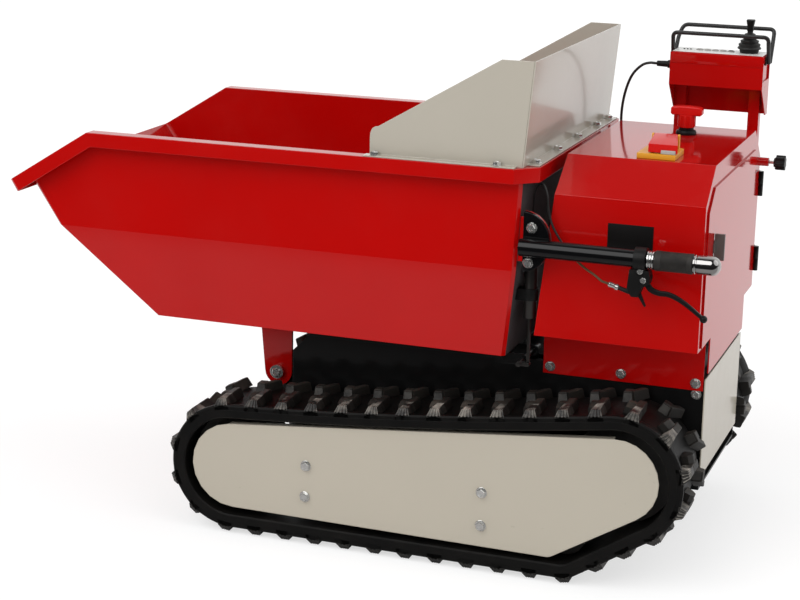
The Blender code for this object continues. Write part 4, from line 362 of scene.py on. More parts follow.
BLACK_PAINT = make_finish(
    "black_satin_paint", (0.005, 0.005, 0.0052), 0.34, coat=0.2, drift=0.10, relief=0.04, specular=0.2,
    dust_and_light=0.05, dust_and_light_scale=9.0, dust_and_light_colour=(0.14, 0.12, 0.09))
BAR_PAINT = make_finish(
    "black_bar_paint", (0.014, 0.014, 0.014), 0.34, drift=0.08, relief=0.10, grain=1500.0)
TUBE_PAINT = make_finish(
    "black_gloss_tube", (0.003, 0.003, 0.0035), 0.20, coat=0.5, drift=0.05, relief=0.02, specular=0.1)
BLACK_PLASTIC = make_finish(
    "black_moulded_plastic", (0.006, 0.006, 0.006), 0.42, drift=0.06, grain=1800.0, relief=0.15,
    specular=0.25)
GRIP_RUBBER = make_finish(
    "black_grip_rubber", (0.016, 0.014, 0.012), 0.62, drift=0.10, grain=1600.0, relief=0.25, dust_and_light=0.08,
    dust_and_light_scale=40.0)
BOOT_RUBBER = make_finish(
    "black_boot_rubber", (0.008, 0.008, 0.008), 0.50, drift=0.05, grain=1200.0, relief=0.10, dust_and_light=0.05,
    dust_and_light_scale=60.0)
TRACK_RUBBER = make_finish(
    "track_rubber", (0.014, 0.0125, 0.011), 0.48, drift=0.16, drift_scale=14.0, specular=0.25,
    grain=700.0, waves=60.0, relief=0.22, wobble=0.25, dust_and_light=0.30, dust_and_light_scale=18.0,
    dust_and_light_colour=(0.17, 0.14, 0.11), flat_dust_and_light=0.75)
# Lug faces: some real dust, and on faces that look up a pale painted top light with painted highlights, so
# the top run looks lit and the wraps look dark
LUG_FACE_DUST_AND_TOP_LIGHT = make_finish(
    "lug_face_dust_and_painted_top_light", (0.016, 0.0145, 0.013), 0.42, drift=0.30, drift_scale=30.0, grain=900.0,
    waves=90.0, relief=0.25, wobble=0.3, dust_and_light=1.0, dust_and_light_scale=26.0, dust_and_light_colour=(0.50, 0.46, 0.40),
    flat_dust_and_light=0.97)
# The belt's band and edge get a darker copy of the track rubber: painted shade on its sides and on the tread
# between the lugs
BELT_BAND_SHADE = make_finish(
    "belt_band_painted_shade", (0.004, 0.0038, 0.0036), 0.46, drift=0.10, drift_scale=10.0, grain=900.0,
    relief=0.08, wobble=0.2, specular=0.15, dust_and_light=0.05, dust_and_light_scale=12.0, dust_and_light_colour=(0.12, 0.10, 0.08),
    flat_dust_and_light=0.6)
RED_PLASTIC = make_finish(
    "red_moulded_plastic", (0.60, 0.008, 0.006), 0.30, coat=0.4, drift=0.04, specular=0.1, grain=1500.0,
    relief=0.05)
YELLOW_PLASTIC = make_finish(
    "yellow_moulded_plastic", (0.72, 0.33, 0.012), 0.36, drift=0.04, grain=1500.0, relief=0.08, dust_and_light=0.08,
    dust_and_light_scale=30.0)
GREY_PLASTIC = make_finish("grey_moulded_plastic", (0.40, 0.38, 0.36), 0.45, drift=0.04, relief=0.08)
PANEL_WHITE = make_finish("pale_panel", (0.72, 0.72, 0.70), 0.35, drift=0.02, relief=0.03)
ZINC = make_finish(
    "bright_zinc", (0.74, 0.74, 0.72), 0.20, metallic=0.88, drift=0.10, drift_scale=60.0, grain=900.0,
    relief=0.10, wobble=0.30)
CHROME = make_finish(
    "polished_chrome", (0.40, 0.39, 0.38), 0.10, metallic=1.0, drift=0.02, relief=0.01, wobble=0.06)
DARK_STEEL = make_finish("dark_steel", (0.07, 0.065, 0.062), 0.34, metallic=0.9, drift=0.10, relief=0.05)
# Dark grey-brown on the lower outer rear wall of the red skip: painted shade where the wall sits in shadow
# between skip and hood
REAR_WALL_SHADE = make_finish(
    "rear_wall_painted_shade", (0.070, 0.060, 0.062), 0.55, drift=0.10, relief=0.05, specular=0.1)
LATCH_GREY = make_finish("latch_grey", (0.10, 0.085, 0.078), 0.40, drift=0.08, relief=0.05)
PLATE_BLACK = make_finish(
    "plate_black", (0.006, 0.005, 0.005), 0.45, drift=0.05, relief=0.03, specular=0.2)
BARE_ALLOY = make_finish("turned_alloy", (0.66, 0.66, 0.65), 0.22, metallic=1.0, drift=0.04, relief=0.04)
CAST_IRON = make_finish(
    "cast_iron", (0.050, 0.048, 0.046), 0.60, metallic=0.5, drift=0.15, relief=0.3, grain=500.0, dust_and_light=0.3,
    dust_and_light_scale=20.0)
CASE_GREY = make_finish("dark_case", (0.035, 0.035, 0.038), 0.45, drift=0.06, relief=0.12, grain=1200.0)
CABLE_BLACK = make_finish(
    "cable_sheath", (0.014, 0.014, 0.014), 0.38, drift=0.08, grain=1500.0, relief=0.05)
CABLE_BROWN = make_finish(
    "brown_cable_sheath", (0.075, 0.045, 0.016), 0.40, drift=0.15, grain=1500.0, relief=0.05,
    above=(0.722, (0.010, 0.010, 0.010)))


# Mesh helpers


def body_of(node):
    return frame["nodes"][node]["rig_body"]


def linked(data, name="helper"):
    """A new object of the scene."""
    made = bpy.data.objects.new(name, data)
    bpy.context.scene.collection.objects.link(made)
    return made


def finished(name, mesh, finishes, body, stands_for=(), smooth=35.0):
    """Link a mesh as a piece that rides on a body."""
    mesh.materials.clear()
    for finish in finishes if isinstance(finishes, (list, tuple)) else [finishes]:
        mesh.materials.append(finish)
    if smooth:
        mesh.shade_smooth()
        mesh.set_sharp_from_angle(angle=math.radians(smooth))
    made = linked(mesh, name)
    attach(made, body)
    for node in stands_for:
        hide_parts(node)
    return made


def baked(made):
    """The object's mesh with its modifiers applied; the object goes."""
    bpy.context.view_layer.update()
    graph = bpy.context.evaluated_depsgraph_get()
    mesh = bpy.data.meshes.new_from_object(made.evaluated_get(graph))
    bpy.data.objects.remove(made, do_unlink=True)
    return mesh


def to_mesh(bm, recalculate=True):
    """A bmesh as a mesh, its faces pointing out."""
    if recalculate:
        bmesh.ops.recalc_face_normals(bm, faces=bm.faces)
    mesh = bpy.data.meshes.new("shape")
    bm.to_mesh(mesh)
    bm.free()
    return mesh


def rounded(mesh, width, segments=2, angle=35.0):
    """The mesh with its edges bevelled."""
    made = linked(mesh)
    bevel = made.modifiers.new("edges", "BEVEL")
    bevel.width = width
    bevel.segments = segments
    bevel.limit_method = "ANGLE"
    bevel.angle_limit = math.radians(angle)
    bevel.use_clamp_overlap = True
    bevel.miter_outer = "MITER_ARC"
    return baked(made)


def merged_solid(node):
    """A copy of a CAD node's mesh with its triangles joined into flat faces."""
    bm = bmesh.new()
    bm.from_mesh(frame["nodes"][node].data)
    bmesh.ops.remove_doubles(bm, verts=bm.verts, dist=0.00002)
    bmesh.ops.dissolve_limit(bm, angle_limit=math.radians(1.0), verts=bm.verts, edges=bm.edges)
    bmesh.ops.dissolve_degenerate(bm, edges=bm.edges, dist=0.00002)
    return to_mesh(bm)


def keep_flat(mesh):
    """Sharpen the borders of large flat faces, so that each shades as one plane."""
    bm = bmesh.new()
    bm.from_mesh(mesh)
    for edge in bm.edges:
        if len(edge.link_faces) == 2 and edge.calc_face_angle(0.0) > math.radians(1.5):
            if max(face.calc_area() for face in edge.link_faces) > SHEET_FACE_AREA:
                edge.smooth = False
    bm.to_mesh(mesh)
    bm.free()


def dress(node, finishes, width=0.0008, segments=2, choose=None, angle=35.0, sheet=False):
    """Stand a copy with rounded edges in for a CAD node; choose picks each face's finish."""
    mesh = merged_solid(node)
    if width:
        mesh = rounded(mesh, width, segments, angle)
    finished(f"{node}_look", mesh, finishes, body_of(node), [node])
    if choose:
        for face in mesh.polygons:
            face.material_index = int(choose(face.center))
    if sheet:
        keep_flat(mesh)
    return mesh


def bridge(bm, rows):
    """Faces from each ring of points to the next; a ring of one point is a pole."""
    for near, far in zip(rows, rows[1:]):
        count = max(len(near), len(far))
        for step in range(count):
            after = (step + 1) % count
            corners = dict.fromkeys((near[step % len(near)], near[after % len(near)],
                                     far[after % len(far)], far[step % len(far)]))
            if len(corners) > 2:
                bm.faces.new(list(corners))


def loft(*stacks):
    """Closed blocks as one mesh, each through its own stack of rings."""
    bm = bmesh.new()
    for rings in stacks:
        rows = [[bm.verts.new(point) for point in ring] for ring in rings]
        bridge(bm, rows)
        for row in (rows[0], rows[-1]):
            if len(row) > 1:
                bm.faces.new(row)
    return to_mesh(bm)


def slabs(*rows):
    """Rectangular rings from rows of x0, x1, y0, y1 and level."""
    return [[(x0, y0, z), (x1, y0, z), (x1, y1, z), (x0, y1, z)] for x0, x1, y0, y1, z in rows]


def lathe(profile, axis="Z", centre=(0, 0, 0), sides=48):
    """Turn (radius, station) points about an axis through centre."""
    units = Matrix.Identity(3)
    along, first, second = (units[("XYZ".index(axis) + turn) % 3] for turn in range(3))
    rings = []
    for radius, station in profile:
        middle = Vector(centre) + along * station
        angles = [2 * math.pi * step / sides for step in range(sides if radius else 1)]
        rings.append([middle + radius * (first * math.cos(angle) + second * math.sin(angle))
                      for angle in angles])
    return loft(rings)


def block(x_range, y_range, z_range):
    """A box as a mesh."""
    return loft(slabs(*((*x_range, *y_range, z) for z in z_range)))


def plate(outline, low, high):
    """A flat plate between two y, with its outline in x and z."""
    return loft([[(x, y, z) for x, z in outline] for y in (low, high)])


def joined(meshes):
    """Several meshes as one, each kept as it is."""
    bm = bmesh.new()
    for mesh in meshes:
        bm.from_mesh(mesh)
    return to_mesh(bm, recalculate=False)


def running_lengths(points):
    """Length of a route up to each of its points."""
    lengths = [0.0]
    for before, after in zip(points, points[1:]):
        lengths.append(lengths[-1] + (after - before).length)
    return lengths


def even_places(lengths, count):
    """(index, share) of count + 1 evenly spaced places along running lengths."""
    places = []
    index = 0
    for step in range(count + 1):
        target = lengths[-1] * step / count
        while index < len(lengths) - 2 and lengths[index + 1] < target:
            index += 1
        span = max(lengths[index + 1] - lengths[index], 1e-9)
        places.append((index, (target - lengths[index]) / span))
    return places


def soft_square(count, power):
    """Points round a square of half-width one with soft corners."""
    angles = [2 * math.pi * step / count for step in range(count)]
    return [tuple(math.copysign(abs(part) ** power, part) for part in (math.cos(angle), math.sin(angle)))
            for angle in angles]


def arc(centre, radii, start, end, steps):
    """Points of an elliptic arc between two angles in degrees."""
    angles = [math.radians(start + (end - start) * step / steps) for step in range(steps + 1)]
    return [(centre[0] + radii[0] * math.cos(angle), centre[1] + radii[1] * math.sin(angle))
            for angle in angles]


def smooth_route(points, spacing):
    """Evenly spaced points on a smooth curve through a route."""
    route = [Vector(point) for point in points]
    route = [2 * route[0] - route[1]] + route + [2 * route[-1] - route[-2]]
    dense = []
    for a, b, c, d in zip(route, route[1:], route[2:], route[3:]):
        for step in range(20):
            t = step / 20
            dense.append(0.5 * (2 * b + (c - a) * t + (2 * a - 5 * b + 4 * c - d) * t ** 2
                                + (3 * b - a - 3 * c + d) * t ** 3))
    dense.append(route[-2])
    lengths = running_lengths(dense)
    count = max(2, round(lengths[-1] / spacing))
    return [dense[index].lerp(dense[index + 1], share) for index, share in even_places(lengths, count)]


def rounded_path(points, radius, steps=6):
    """Replace the inner corners of a path by short curves."""
    path = [Vector(point) for point in points]
    result = [path[0]]
    for before, corner, after in zip(path, path[1:], path[2:]):
        start = corner + (before - corner).normalized() * radius
        end = corner + (after - corner).normalized() * radius
        for step in range(steps + 1):
            t = step / steps
            result.append(start.lerp(corner, t).lerp(corner.lerp(end, t), t))
    result.append(path[-1])
    return result


def poly_curve(points, closed=False):
    """A curve of straight pieces through points."""
    curve = bpy.data.curves.new("route", "CURVE")
    curve.dimensions = "3D"
    spline = curve.splines.new("POLY")
    spline.points.add(len(points) - 1)
    spline.use_cyclic_u = closed
    for slot, point in zip(spline.points, points):
        slot.co = (*point, 1.0)
    return curve


def tube(points, radius, resolution=6):
    """A round tube curve with filled ends."""
    curve = poly_curve(points)
    curve.bevel_depth = radius
    curve.bevel_resolution = resolution
    curve.use_fill_caps = True
    return curve


# Geometry Nodes: copies of a shape set on places, and the belt's band


def paint_copies(tree, geometry, finish, leave):
    """Make instances real, give them their finish and hand them out."""
    real = add_node(tree, "GeometryNodeRealizeInstances", {"Geometry": geometry}).outputs["Geometry"]
    paint = add_node(tree, "GeometryNodeSetMaterial", {"Geometry": real, "Material": finish})
    tree.links.new(paint.outputs["Geometry"], leave)


def copies_tree():
    """Tree that sets a shape on each point, turned by the point's own axes."""
    tree, entry, leave = new_tree(
        "set_copies", "GeometryNodeTree",
        (("Places", "Geometry"), ("Shape", "Object"), ("Spin", "Float"), ("Seed", "Int"),
         ("Finish", "Material")),
        (("Copies", "Geometry"),))
    axes = add_node(tree, "FunctionNodeAxesToRotation", primary_axis="Z", secondary_axis="X")
    for label, slot in (("facing", "Primary Axis"), ("along", "Secondary Axis")):
        read = add_node(tree, "GeometryNodeInputNamedAttribute", {"Name": label}, data_type="FLOAT_VECTOR")
        tree.links.new(read.outputs["Attribute"], axes.inputs[slot])
    chance = add_node(tree, "FunctionNodeRandomValue", {"Seed": entry["Seed"]}, data_type="FLOAT")
    turn = times(tree, chance.outputs[1], entry["Spin"])
    spin = add_node(tree, "FunctionNodeAxisAngleToRotation", {"Axis": (0, 0, 1), "Angle": turn})
    rotate = add_node(tree, "FunctionNodeRotateRotation",
                      {"Rotation": axes.outputs["Rotation"], "Rotate By": spin.outputs["Rotation"]},
                      rotation_space="LOCAL")
    shape = add_node(tree, "GeometryNodeObjectInfo", {"Object": entry["Shape"]})
    place = add_node(tree, "GeometryNodeInstanceOnPoints",
                     {"Points": entry["Places"], "Instance": shape.outputs["Geometry"],
                      "Rotation": rotate.outputs["Rotation"]})
    paint_copies(tree, place.outputs["Instances"], entry["Finish"], leave["Copies"])
    return tree


def band_tree():
    """Tree that sweeps a cross-section round a closed path."""
    tree, entry, leave = new_tree(
        "sweep_band", "GeometryNodeTree",
        (("Path", "Geometry"), ("Section", "Object"), ("Finish", "Material")), (("Band", "Geometry"),))
    section = add_node(tree, "GeometryNodeObjectInfo", {"Object": entry["Section"]})
    sweep = add_node(tree, "GeometryNodeCurveToMesh",
                     {"Curve": entry["Path"], "Profile Curve": section.outputs["Geometry"]})
    paint_copies(tree, sweep.outputs["Mesh"], entry["Finish"], leave["Band"])
    return tree


COPIES = copies_tree()
BAND = band_tree()


def run_tree(data, tree, **inputs):
    """The mesh that a tree makes of some data, its inputs set by name."""
    made = linked(data)
    modifier = made.modifiers.new("nodes", "NODES")
    modifier.node_group = tree
    names = {item.name: item.identifier for item in tree.interface.items_tree if item.in_out == "INPUT"}
    for label, value in inputs.items():
        modifier[names[label]] = value
    return baked(made)


def set_copies(places, shape, finish, spin=0.0, seed=1):
    """Copies of a mesh at (point, facing, along) places, as one mesh."""
    points = bpy.data.meshes.new("places")
    points.from_pydata([tuple(point) for point, _, _ in places], [], [])
    for index, label in ((1, "facing"), (2, "along")):
        values = points.attributes.new(label, "FLOAT_VECTOR", "POINT")
        for slot, place in zip(values.data, places):
            slot.vector = place[index]
    model = linked(shape)
    mesh = run_tree(points, COPIES, Shape=model, Spin=spin, Seed=seed, Finish=finish)
    bpy.data.objects.remove(model, do_unlink=True)
    return mesh


def across(facing):
    """Any direction square to facing."""
    facing = Vector(facing)
    other = UP if abs(facing.z) < 0.9 else FORWARD
    return facing.cross(other).normalized()


# Fasteners


def hex_bolt(size):
    """A hex head with a chamfered crown, on a washer, facing +Z."""
    flats, height, washer = size
    corner = flats / math.sqrt(3)
    base = 0.0016
    top = base + height
    disc = [(0, 0), (washer, 0), (washer, base * 0.7), (washer - 0.0006, base), (0, base)]
    head = [(0, base), (corner, base), (corner, base + height * 0.82), (corner * 0.86, top),
            (corner * 0.55, top), (corner * 0.50, top - 0.0006), (0, top - 0.0006)]
    return joined([lathe(disc, sides=20), lathe(head, sides=6)])


def on_both_sides(points, facing=None):
    """(point, facing) places on the left and right, facing outwards unless told otherwise."""
    return [((x, side * y, z), facing or (0, side, 0)) for side in (1, -1) for x, y, z in points]


def bolts(name, body, size, seed, places):
    """Zinc bolts on a body at (point, facing) places."""
    spots = [(point, Vector(facing), across(facing)) for point, facing in places]
    mesh = set_copies(spots, hex_bolt(size), ZINC, spin=2 * math.pi, seed=seed)
    finished(name, mesh, ZINC, body, smooth=30.0)


# Tracks


def tangent_angle(first, second):
    """Outward angle of the line that runs over two circles."""
    (x0, z0, r0), (x1, z1, r1) = first, second
    return math.atan2(z1 - z0, x1 - x0) + math.acos((r0 - r1) / math.hypot(x1 - x0, z1 - z0))


def belt_loop(offset, step):
    """Points and outward normals round the belt, offset from its inner face."""
    idler, roller, sprocket = [(x, z, radius + offset) for x, z, radius in (IDLER, REAR_ROLLER, SPROCKET)]
    samples = []

    def wrap(circle, start, end):
        while end > start:
            end -= 2 * math.pi
        count = max(4, int(abs(end - start) * circle[2] / step))
        for index in range(count + 1):
            angle = start + (end - start) * index / count
            normal = Vector((math.cos(angle), 0, math.sin(angle)))
            samples.append((Vector((circle[0], 0, circle[1])) + normal * circle[2], normal))

    span = math.hypot(idler[0] - sprocket[0], idler[1] - sprocket[1])
    droop = math.atan(4 * TOP_RUN_SAG / span)
    wrap(roller, tangent_angle(idler, roller), tangent_angle(roller, sprocket))
    top = tangent_angle(sprocket, idler)
    wrap(sprocket, tangent_angle(roller, sprocket), top - droop)
    first, normal = samples[-1]
    heading = Vector((normal.z, 0, -normal.x))
    last_normal = Vector((math.cos(top + droop), 0, math.sin(top + droop)))
    last = Vector((idler[0], 0, idler[1])) + last_normal * idler[2]
    corner = first + heading * ((last - first).dot(last_normal) / heading.dot(last_normal))
    count = int(span / step)
    for index in range(1, count):
        t = index / count
        slope = (corner - first).lerp(last - corner, t).normalized()
        samples.append((first.lerp(corner, t).lerp(corner.lerp(last, t), t), Vector((-slope.z, 0, slope.x))))
    wrap(idler, top + droop, tangent_angle(idler, roller))
    return samples


def belt_stations(steps):
    """Evenly spaced (cord point, outward normal) round the belt, some steps to a link."""
    samples = belt_loop(CORD_DEPTH, 0.002)
    samples.append(samples[0])
    lengths = running_lengths([point for point, _ in samples])
    stations = []
    for index, share in even_places(lengths, TRACK_LINKS * steps)[:-1]:
        (point, normal), (next_point, next_normal) = samples[index:index + 2]
        stations.append((point.lerp(next_point, share), normal.lerp(next_normal, share).normalized()))
    return stations


def outer_lug(height):
    """Seven-shaped lug of the outer row: x along the belt, y from its middle to its edge, z outwards."""
    stem = slabs((-0.0105, 0.0105, -0.0100, 0.0395, -0.002),
                 (-0.0088, 0.0088, -0.0075, 0.0380, height - 0.0022),
                 (-0.0070, 0.0070, -0.0055, 0.0362, height))
    arm = slabs((0.0040, 0.0300, 0.0020, 0.0360, -0.002), (0.0045, 0.0282, 0.0045, 0.0340, height * 0.55),
                (0.0050, 0.0262, 0.0070, 0.0230, height - 0.0025),
                (0.0060, 0.0245, 0.0085, 0.0210, height - 0.0015))
    return loft(stem, arm)


def outer_lug_face(height):
    """Fluted face that runs from an outer lug's head over its brow and down to the belt's edge."""
    stations = ((0.0300, 0.0078, 0.0110, height - 0.0006), (0.0470, 0.0082, 0.0125, height - 0.0006),
                (0.0790, 0.0100, 0.0150, height - 0.0018), (0.0897, 0.0158, 0.0178, EDGE_RISE - 0.0010))
    stacks = [[[(-foot, y, -0.004), (foot, y, -0.004), (top, y, level), (-top, y, level)]
               for y, top, foot, level in stations]]
    for index in range(FLUTES):
        share = (index - (FLUTES - 1) / 2) / FLUTES
        flute = []
        for (y, top, _, level), lift in zip(stations[1:], (0.0004, 0.0014, 0.0026)):
            middle, half, low = 2 * top * share, 2 * top / 11, level - 0.0015
            flute.append([(middle - half, y, low), (middle + half, y, low), (middle, y, level + lift)])
        stacks.append(flute)
    return loft(*stacks)


def inner_lug(height):
    """Inner row's lug: a short head with a slanting bar to the belt's inner edge."""
    head = slabs((-0.0120, 0.0120, 0.0465, 0.0740, -0.002),
                 (-0.0098, 0.0098, 0.0505, 0.0725, height - 0.0022),
                 (-0.0080, 0.0080, 0.0525, 0.0705, height))
    bar = []
    for inset, level in ((0.0, -0.002), (0.0018, height - 0.0027), (0.0034, height - 0.0005)):
        bar.append([(0.0010 + inset, 0.0560 + inset, level), (0.0150 - inset, 0.0490 + inset, level),
                    (0.0390 - 1.6 * inset, 0.0885 - inset, level), (0.0190 + inset, 0.0885 - inset, level)])
    return loft(head, bar)


def inner_lug_face(height):
    """Sloping face of an inner lug toward the belt's middle."""
    return loft(slabs((-0.0112, 0.0112, 0.0440, 0.0520, -0.003),
                      (-0.0086, 0.0086, 0.0498, 0.0540, height - 0.0040)))


def belt_section():
    """Cross-section of the band: x across the belt, y outwards from its cord."""
    half, inner, outer = BELT_HALF, -CORD_DEPTH, BELT_CROWN
    right = [(half - 0.003, inner), (half, inner + 0.003), (half, outer - 0.004), (half - 0.003, outer)]
    return poly_curve([(x, y, 0) for x, y in right] + [(-x, y, 0) for x, y in reversed(right)], closed=True)


def belt_edge(side):
    """Thick outer edge of the belt, scalloped between the lugs."""
    half_cell = EDGE_STEPS / 2
    first_lug = EDGE_STEPS / LUG_STEPS
    bm = bmesh.new()
    rows = []
    for index, (point, normal) in enumerate(belt_stations(EDGE_STEPS)):
        away = abs((index - first_lug + half_cell) % EDGE_STEPS - half_cell) / half_cell
        crest = EDGE_RISE + EDGE_SWELL * max(0.0, 1.0 - away / 0.6) ** 1.5
        base = point + normal * BELT_CROWN
        profile = ((0.046, -0.004), (0.050, -0.0005), (0.070, crest * 0.62), (0.0825, crest),
                   (0.0865, crest - 0.0008), (0.0897, crest - 0.0045), (0.0897, -0.006), (0.070, -0.010))
        rows.append([bm.verts.new(base + normal * level + Vector((0, side * (TRACK_MIDDLE_Y + out), 0)))
                     for out, level in profile])
    bridge(bm, rows + rows[:1])
    return to_mesh(bm)


def track_belt(label, side):
    """The endless belt: a swept band with its lugs set along it."""
    node = f"track_belt_{label}"
    middle = Vector((0, side * TRACK_MIDDLE_Y, 0))
    stations = belt_stations(LUG_STEPS)
    path = poly_curve([point + middle for point, _ in stations], closed=True)
    path.twist_mode = "MINIMUM"
    section = linked(belt_section())
    band = run_tree(path, BAND, Section=section, Finish=BELT_BAND_SHADE)
    bpy.data.objects.remove(section, do_unlink=True)
    edge = belt_edge(side)
    lugs, faces = [], []
    for first, row, lug, face in ((1, 1, outer_lug, outer_lug_face), (5, -1, inner_lug, inner_lug_face)):
        toward_edge = Vector((0, side * row, 0))
        places = [(point + normal * BELT_CROWN + middle, normal, toward_edge.cross(normal))
                  for point, normal in stations[first::LUG_STEPS]]
        lugs.append(set_copies(places, lug(LUG_HEIGHT), TRACK_RUBBER))
        # Lug faces take the pale finish whose colour paints top light on the faces that look up
        faces.append(set_copies(places, face(LUG_HEIGHT), LUG_FACE_DUST_AND_TOP_LIGHT))
    # Band and edge get the darker rubber that paints their shade; the lugs get the plain track rubber
    first_lug = len(band.polygons) + len(edge.polygons)
    first_face = first_lug + sum(len(mesh.polygons) for mesh in lugs)
    mesh = joined([band, edge] + lugs + faces)
    finished(f"{node}_look", mesh, [BELT_BAND_SHADE, TRACK_RUBBER, LUG_FACE_DUST_AND_TOP_LIGHT], body_of(node), [node], 30.0)
    for face in mesh.polygons:
        face.material_index = int(face.index >= first_lug) + int(face.index >= first_face)


def add_guide_discs():
    """Discs on both sides of each sprocket's teeth, which keep the belt on it."""
    x, z, seat = SPROCKET
    rim, inner = seat - DISC_PLAY, DISC_OFFSET
    outer = inner + DISC_THICKNESS
    profile = [(0, inner), (rim, inner), (rim, outer - 0.001), (rim - 0.001, outer), (0, outer)]
    mirrored = [(radius, -station) for radius, station in reversed(profile)]
    for label, side in SIDES:
        discs = [lathe(points, "Y", (x, side * TRACK_MIDDLE_Y, z), 72) for points in (profile, mirrored)]
        finished(f"guide_discs_{label}_look", joined(discs), [CAST_IRON], body_of(f"sprocket_{label}"))


# Camera, floor and light


def add_camera():
    """Camera at the photograph's view, with its slight roll."""
    data = bpy.data.cameras.new("camera")
    data.lens = CAMERA_LENS
    data.sensor_width = 36.0
    data.clip_end = 60.0
    made = linked(data, "camera")
    back = (Vector(CAMERA_PLACE) - Vector(CAMERA_TARGET)).normalized()
    right = UP.cross(back).normalized()
    up = back.cross(right)
    right, up = (right * math.cos(CAMERA_ROLL) + up * math.sin(CAMERA_ROLL),
                 up * math.cos(CAMERA_ROLL) - right * math.sin(CAMERA_ROLL))
    turn = Matrix((right, up, back)).transposed().to_4x4()
    made.matrix_world = Matrix.Translation(CAMERA_PLACE) @ turn
    bpy.context.scene.camera = made


def add_floor():
    """Pale floor that keeps the shadow; its reflection is dim on the camera's side."""
    extent = (-FLOOR_HALF, FLOOR_HALF)
    mesh = block(extent, extent, (-0.02, -0.0005))
    floor = linked(mesh, "floor")
    made = bpy.data.materials.new("pale_floor")
    made.use_nodes = True
    tree = made.node_tree
    path = add_node(tree, "ShaderNodeLightPath").outputs
    place = add_component(tree, "Object", "Y")
    near, far = [add_range(tree, place, low, high, 0.0, share) for low, high, share in FLOOR_DIMMING]
    dim = times(tree, plus(tree, near, far), path["Is Glossy Ray"])
    direct = add_mix(tree, path["Is Camera Ray"], FLOOR_LIT, FLOOR_SEEN)
    fill(tree, tree.nodes["Principled BSDF"], {
        "Base Color": add_mix(tree, dim, direct, FLOOR_MIRRORED), "Roughness": 0.9,
        "Specular IOR Level": 0.0, "Emission Color": WHITE,
        "Emission Strength": times(tree, path["Is Camera Ray"], FLOOR_GLOW)})
    mesh.materials.append(made)


def add_sun(name, direction, strength, spread):
    """A broad lamp whose light comes from a direction."""
    data = bpy.data.lights.new(name, "SUN")
    data.energy = strength
    data.angle = math.radians(spread)
    made = linked(data, name)
    made.rotation_mode = "QUATERNION"
    made.rotation_quaternion = Vector(direction).to_track_quat("Z", "Y")


def add_world():
    """Even studio light; reflections find white behind the object and a dim room on the camera's side."""
    world = bpy.data.worlds.new("studio")
    world.use_nodes = True
    tree = world.node_tree
    path = add_node(tree, "ShaderNodeLightPath").outputs
    behind = add_range(tree, add_component(tree, "Generated", "Y"), *ROOM_MIRRORED)
    seen = add_math(tree, "MAXIMUM", path["Is Camera Ray"], path["Is Transmission Ray"])
    plain = add_range(tree, seen, 0.0, 1.0, ROOM_LIGHT, 1.0)
    kept = times(tree, plain, add_math(tree, "SUBTRACT", 1.0, path["Is Glossy Ray"]))
    mirrored = times(tree, behind, path["Is Glossy Ray"])
    fill(tree, tree.nodes["Background"],
         {"Strength": plus(tree, kept, mirrored), "Color": WHITE})
    bpy.context.scene.world = world


def light_scene():
    add_world()
    add_sun("key_light", (0.35, 0.75, 0.75), 1.35, 50)
    add_sun("rear_light", (-0.8, 0.1, 0.7), 0.75, 60)
    bpy.context.scene.view_settings.view_transform = "Standard"


# Painted sheet, small parts and hidden parts


def dress_sheet_metal():
    """Red, grey and black sheet parts with rounded bends and edges."""
    tub = dress("skip_tub", [SKIP_PAINT, REAR_WALL_SHADE], 0.0016, 3, angle=20.0, sheet=True)
    # The skip's lower outer rear wall takes the dark finish that paints the shade between skip and hood
    for face in tub.polygons:
        at = face.center
        face.material_index = int(face.normal.x < -0.9 and at.x < REAR_WALL_X and at.z < REAR_WALL_TOP)
    add_welds()
    two_tone = [RED_PAINT, BLACK_PAINT]
    dress("skip_subframe", two_tone, 0.0012, choose=lambda at: at.x < RAIL_END_X, sheet=True)
    dress("hood_shell", [RED_PAINT, BLACK_PLASTIC], 0.0013, 3, angle=25.0, sheet=True,
          choose=lambda at: (at.y < CHARGE_CAP_Y and at.z > CHARGE_CAP_Z
                             and CHARGE_CAP_X[0] < at.x < CHARGE_CAP_X[1]))
    dress("battery_door", two_tone, 0.0007, choose=lambda at: at.y < DOOR_HINGE_Y, sheet=True)
    for node, *options in (("hood_skirt", RED_PAINT), ("control_support", RED_PAINT, 0.0010, 3),
                           ("rear_cover", GREY_PAINT, 0.0009), ("chassis_frame", BLACK_PAINT, 0.0015)):
        dress(node, *options, sheet=True)
    dress("guard_rear", GUARD_PAINT, 0.0009, 3, angle=25.0, sheet=True)
    for label, _ in SIDES:
        dress(f"guard_{label}", GUARD_PAINT, 0.0009, 3, angle=25.0, sheet=True)
        dress(f"track_cover_{label}", GREY_PAINT, 0.0018, 3, sheet=True)
        dress(f"track_beam_{label}", BLACK_PAINT, 0.0010, 1)
    for node in ("hinge_upper", "hinge_lower"):
        dress(node, [BLACK_PAINT, RED_PAINT], 0.0005, choose=lambda at: at.y < HINGE_BASE_Y)


def add_welds():
    """Weld beads on the skip's side walls, as rows of small overlapping drops."""
    drop = lathe([(0.0019, 0), (0.0017, 0.0005), (0.0010, 0.0009), (0, 0.0010)], sides=8)
    places = []
    for side in (1, -1):
        for route in WELD_ROUTES:
            points = smooth_route([(x, side * (SKIP_HALF + 0.0001), z) for x, z in route], 0.0022)
            places += [(point, Vector((0, side, 0)), FORWARD) for point in points]
    finished("skip_welds", set_copies(places, drop, SKIP_PAINT), SKIP_PAINT, "skip", smooth=50.0)


def box_finish(centre):
    """White panel on top, black gland and boot seat, red everywhere else."""
    if centre.x > BOX_FRONT + 0.0004 or (centre.x < BOOT_SEAT_X and centre.z > PANEL_TOP + 0.0002):
        return 2
    return int(centre.z > PANEL_TOP - 0.0002)


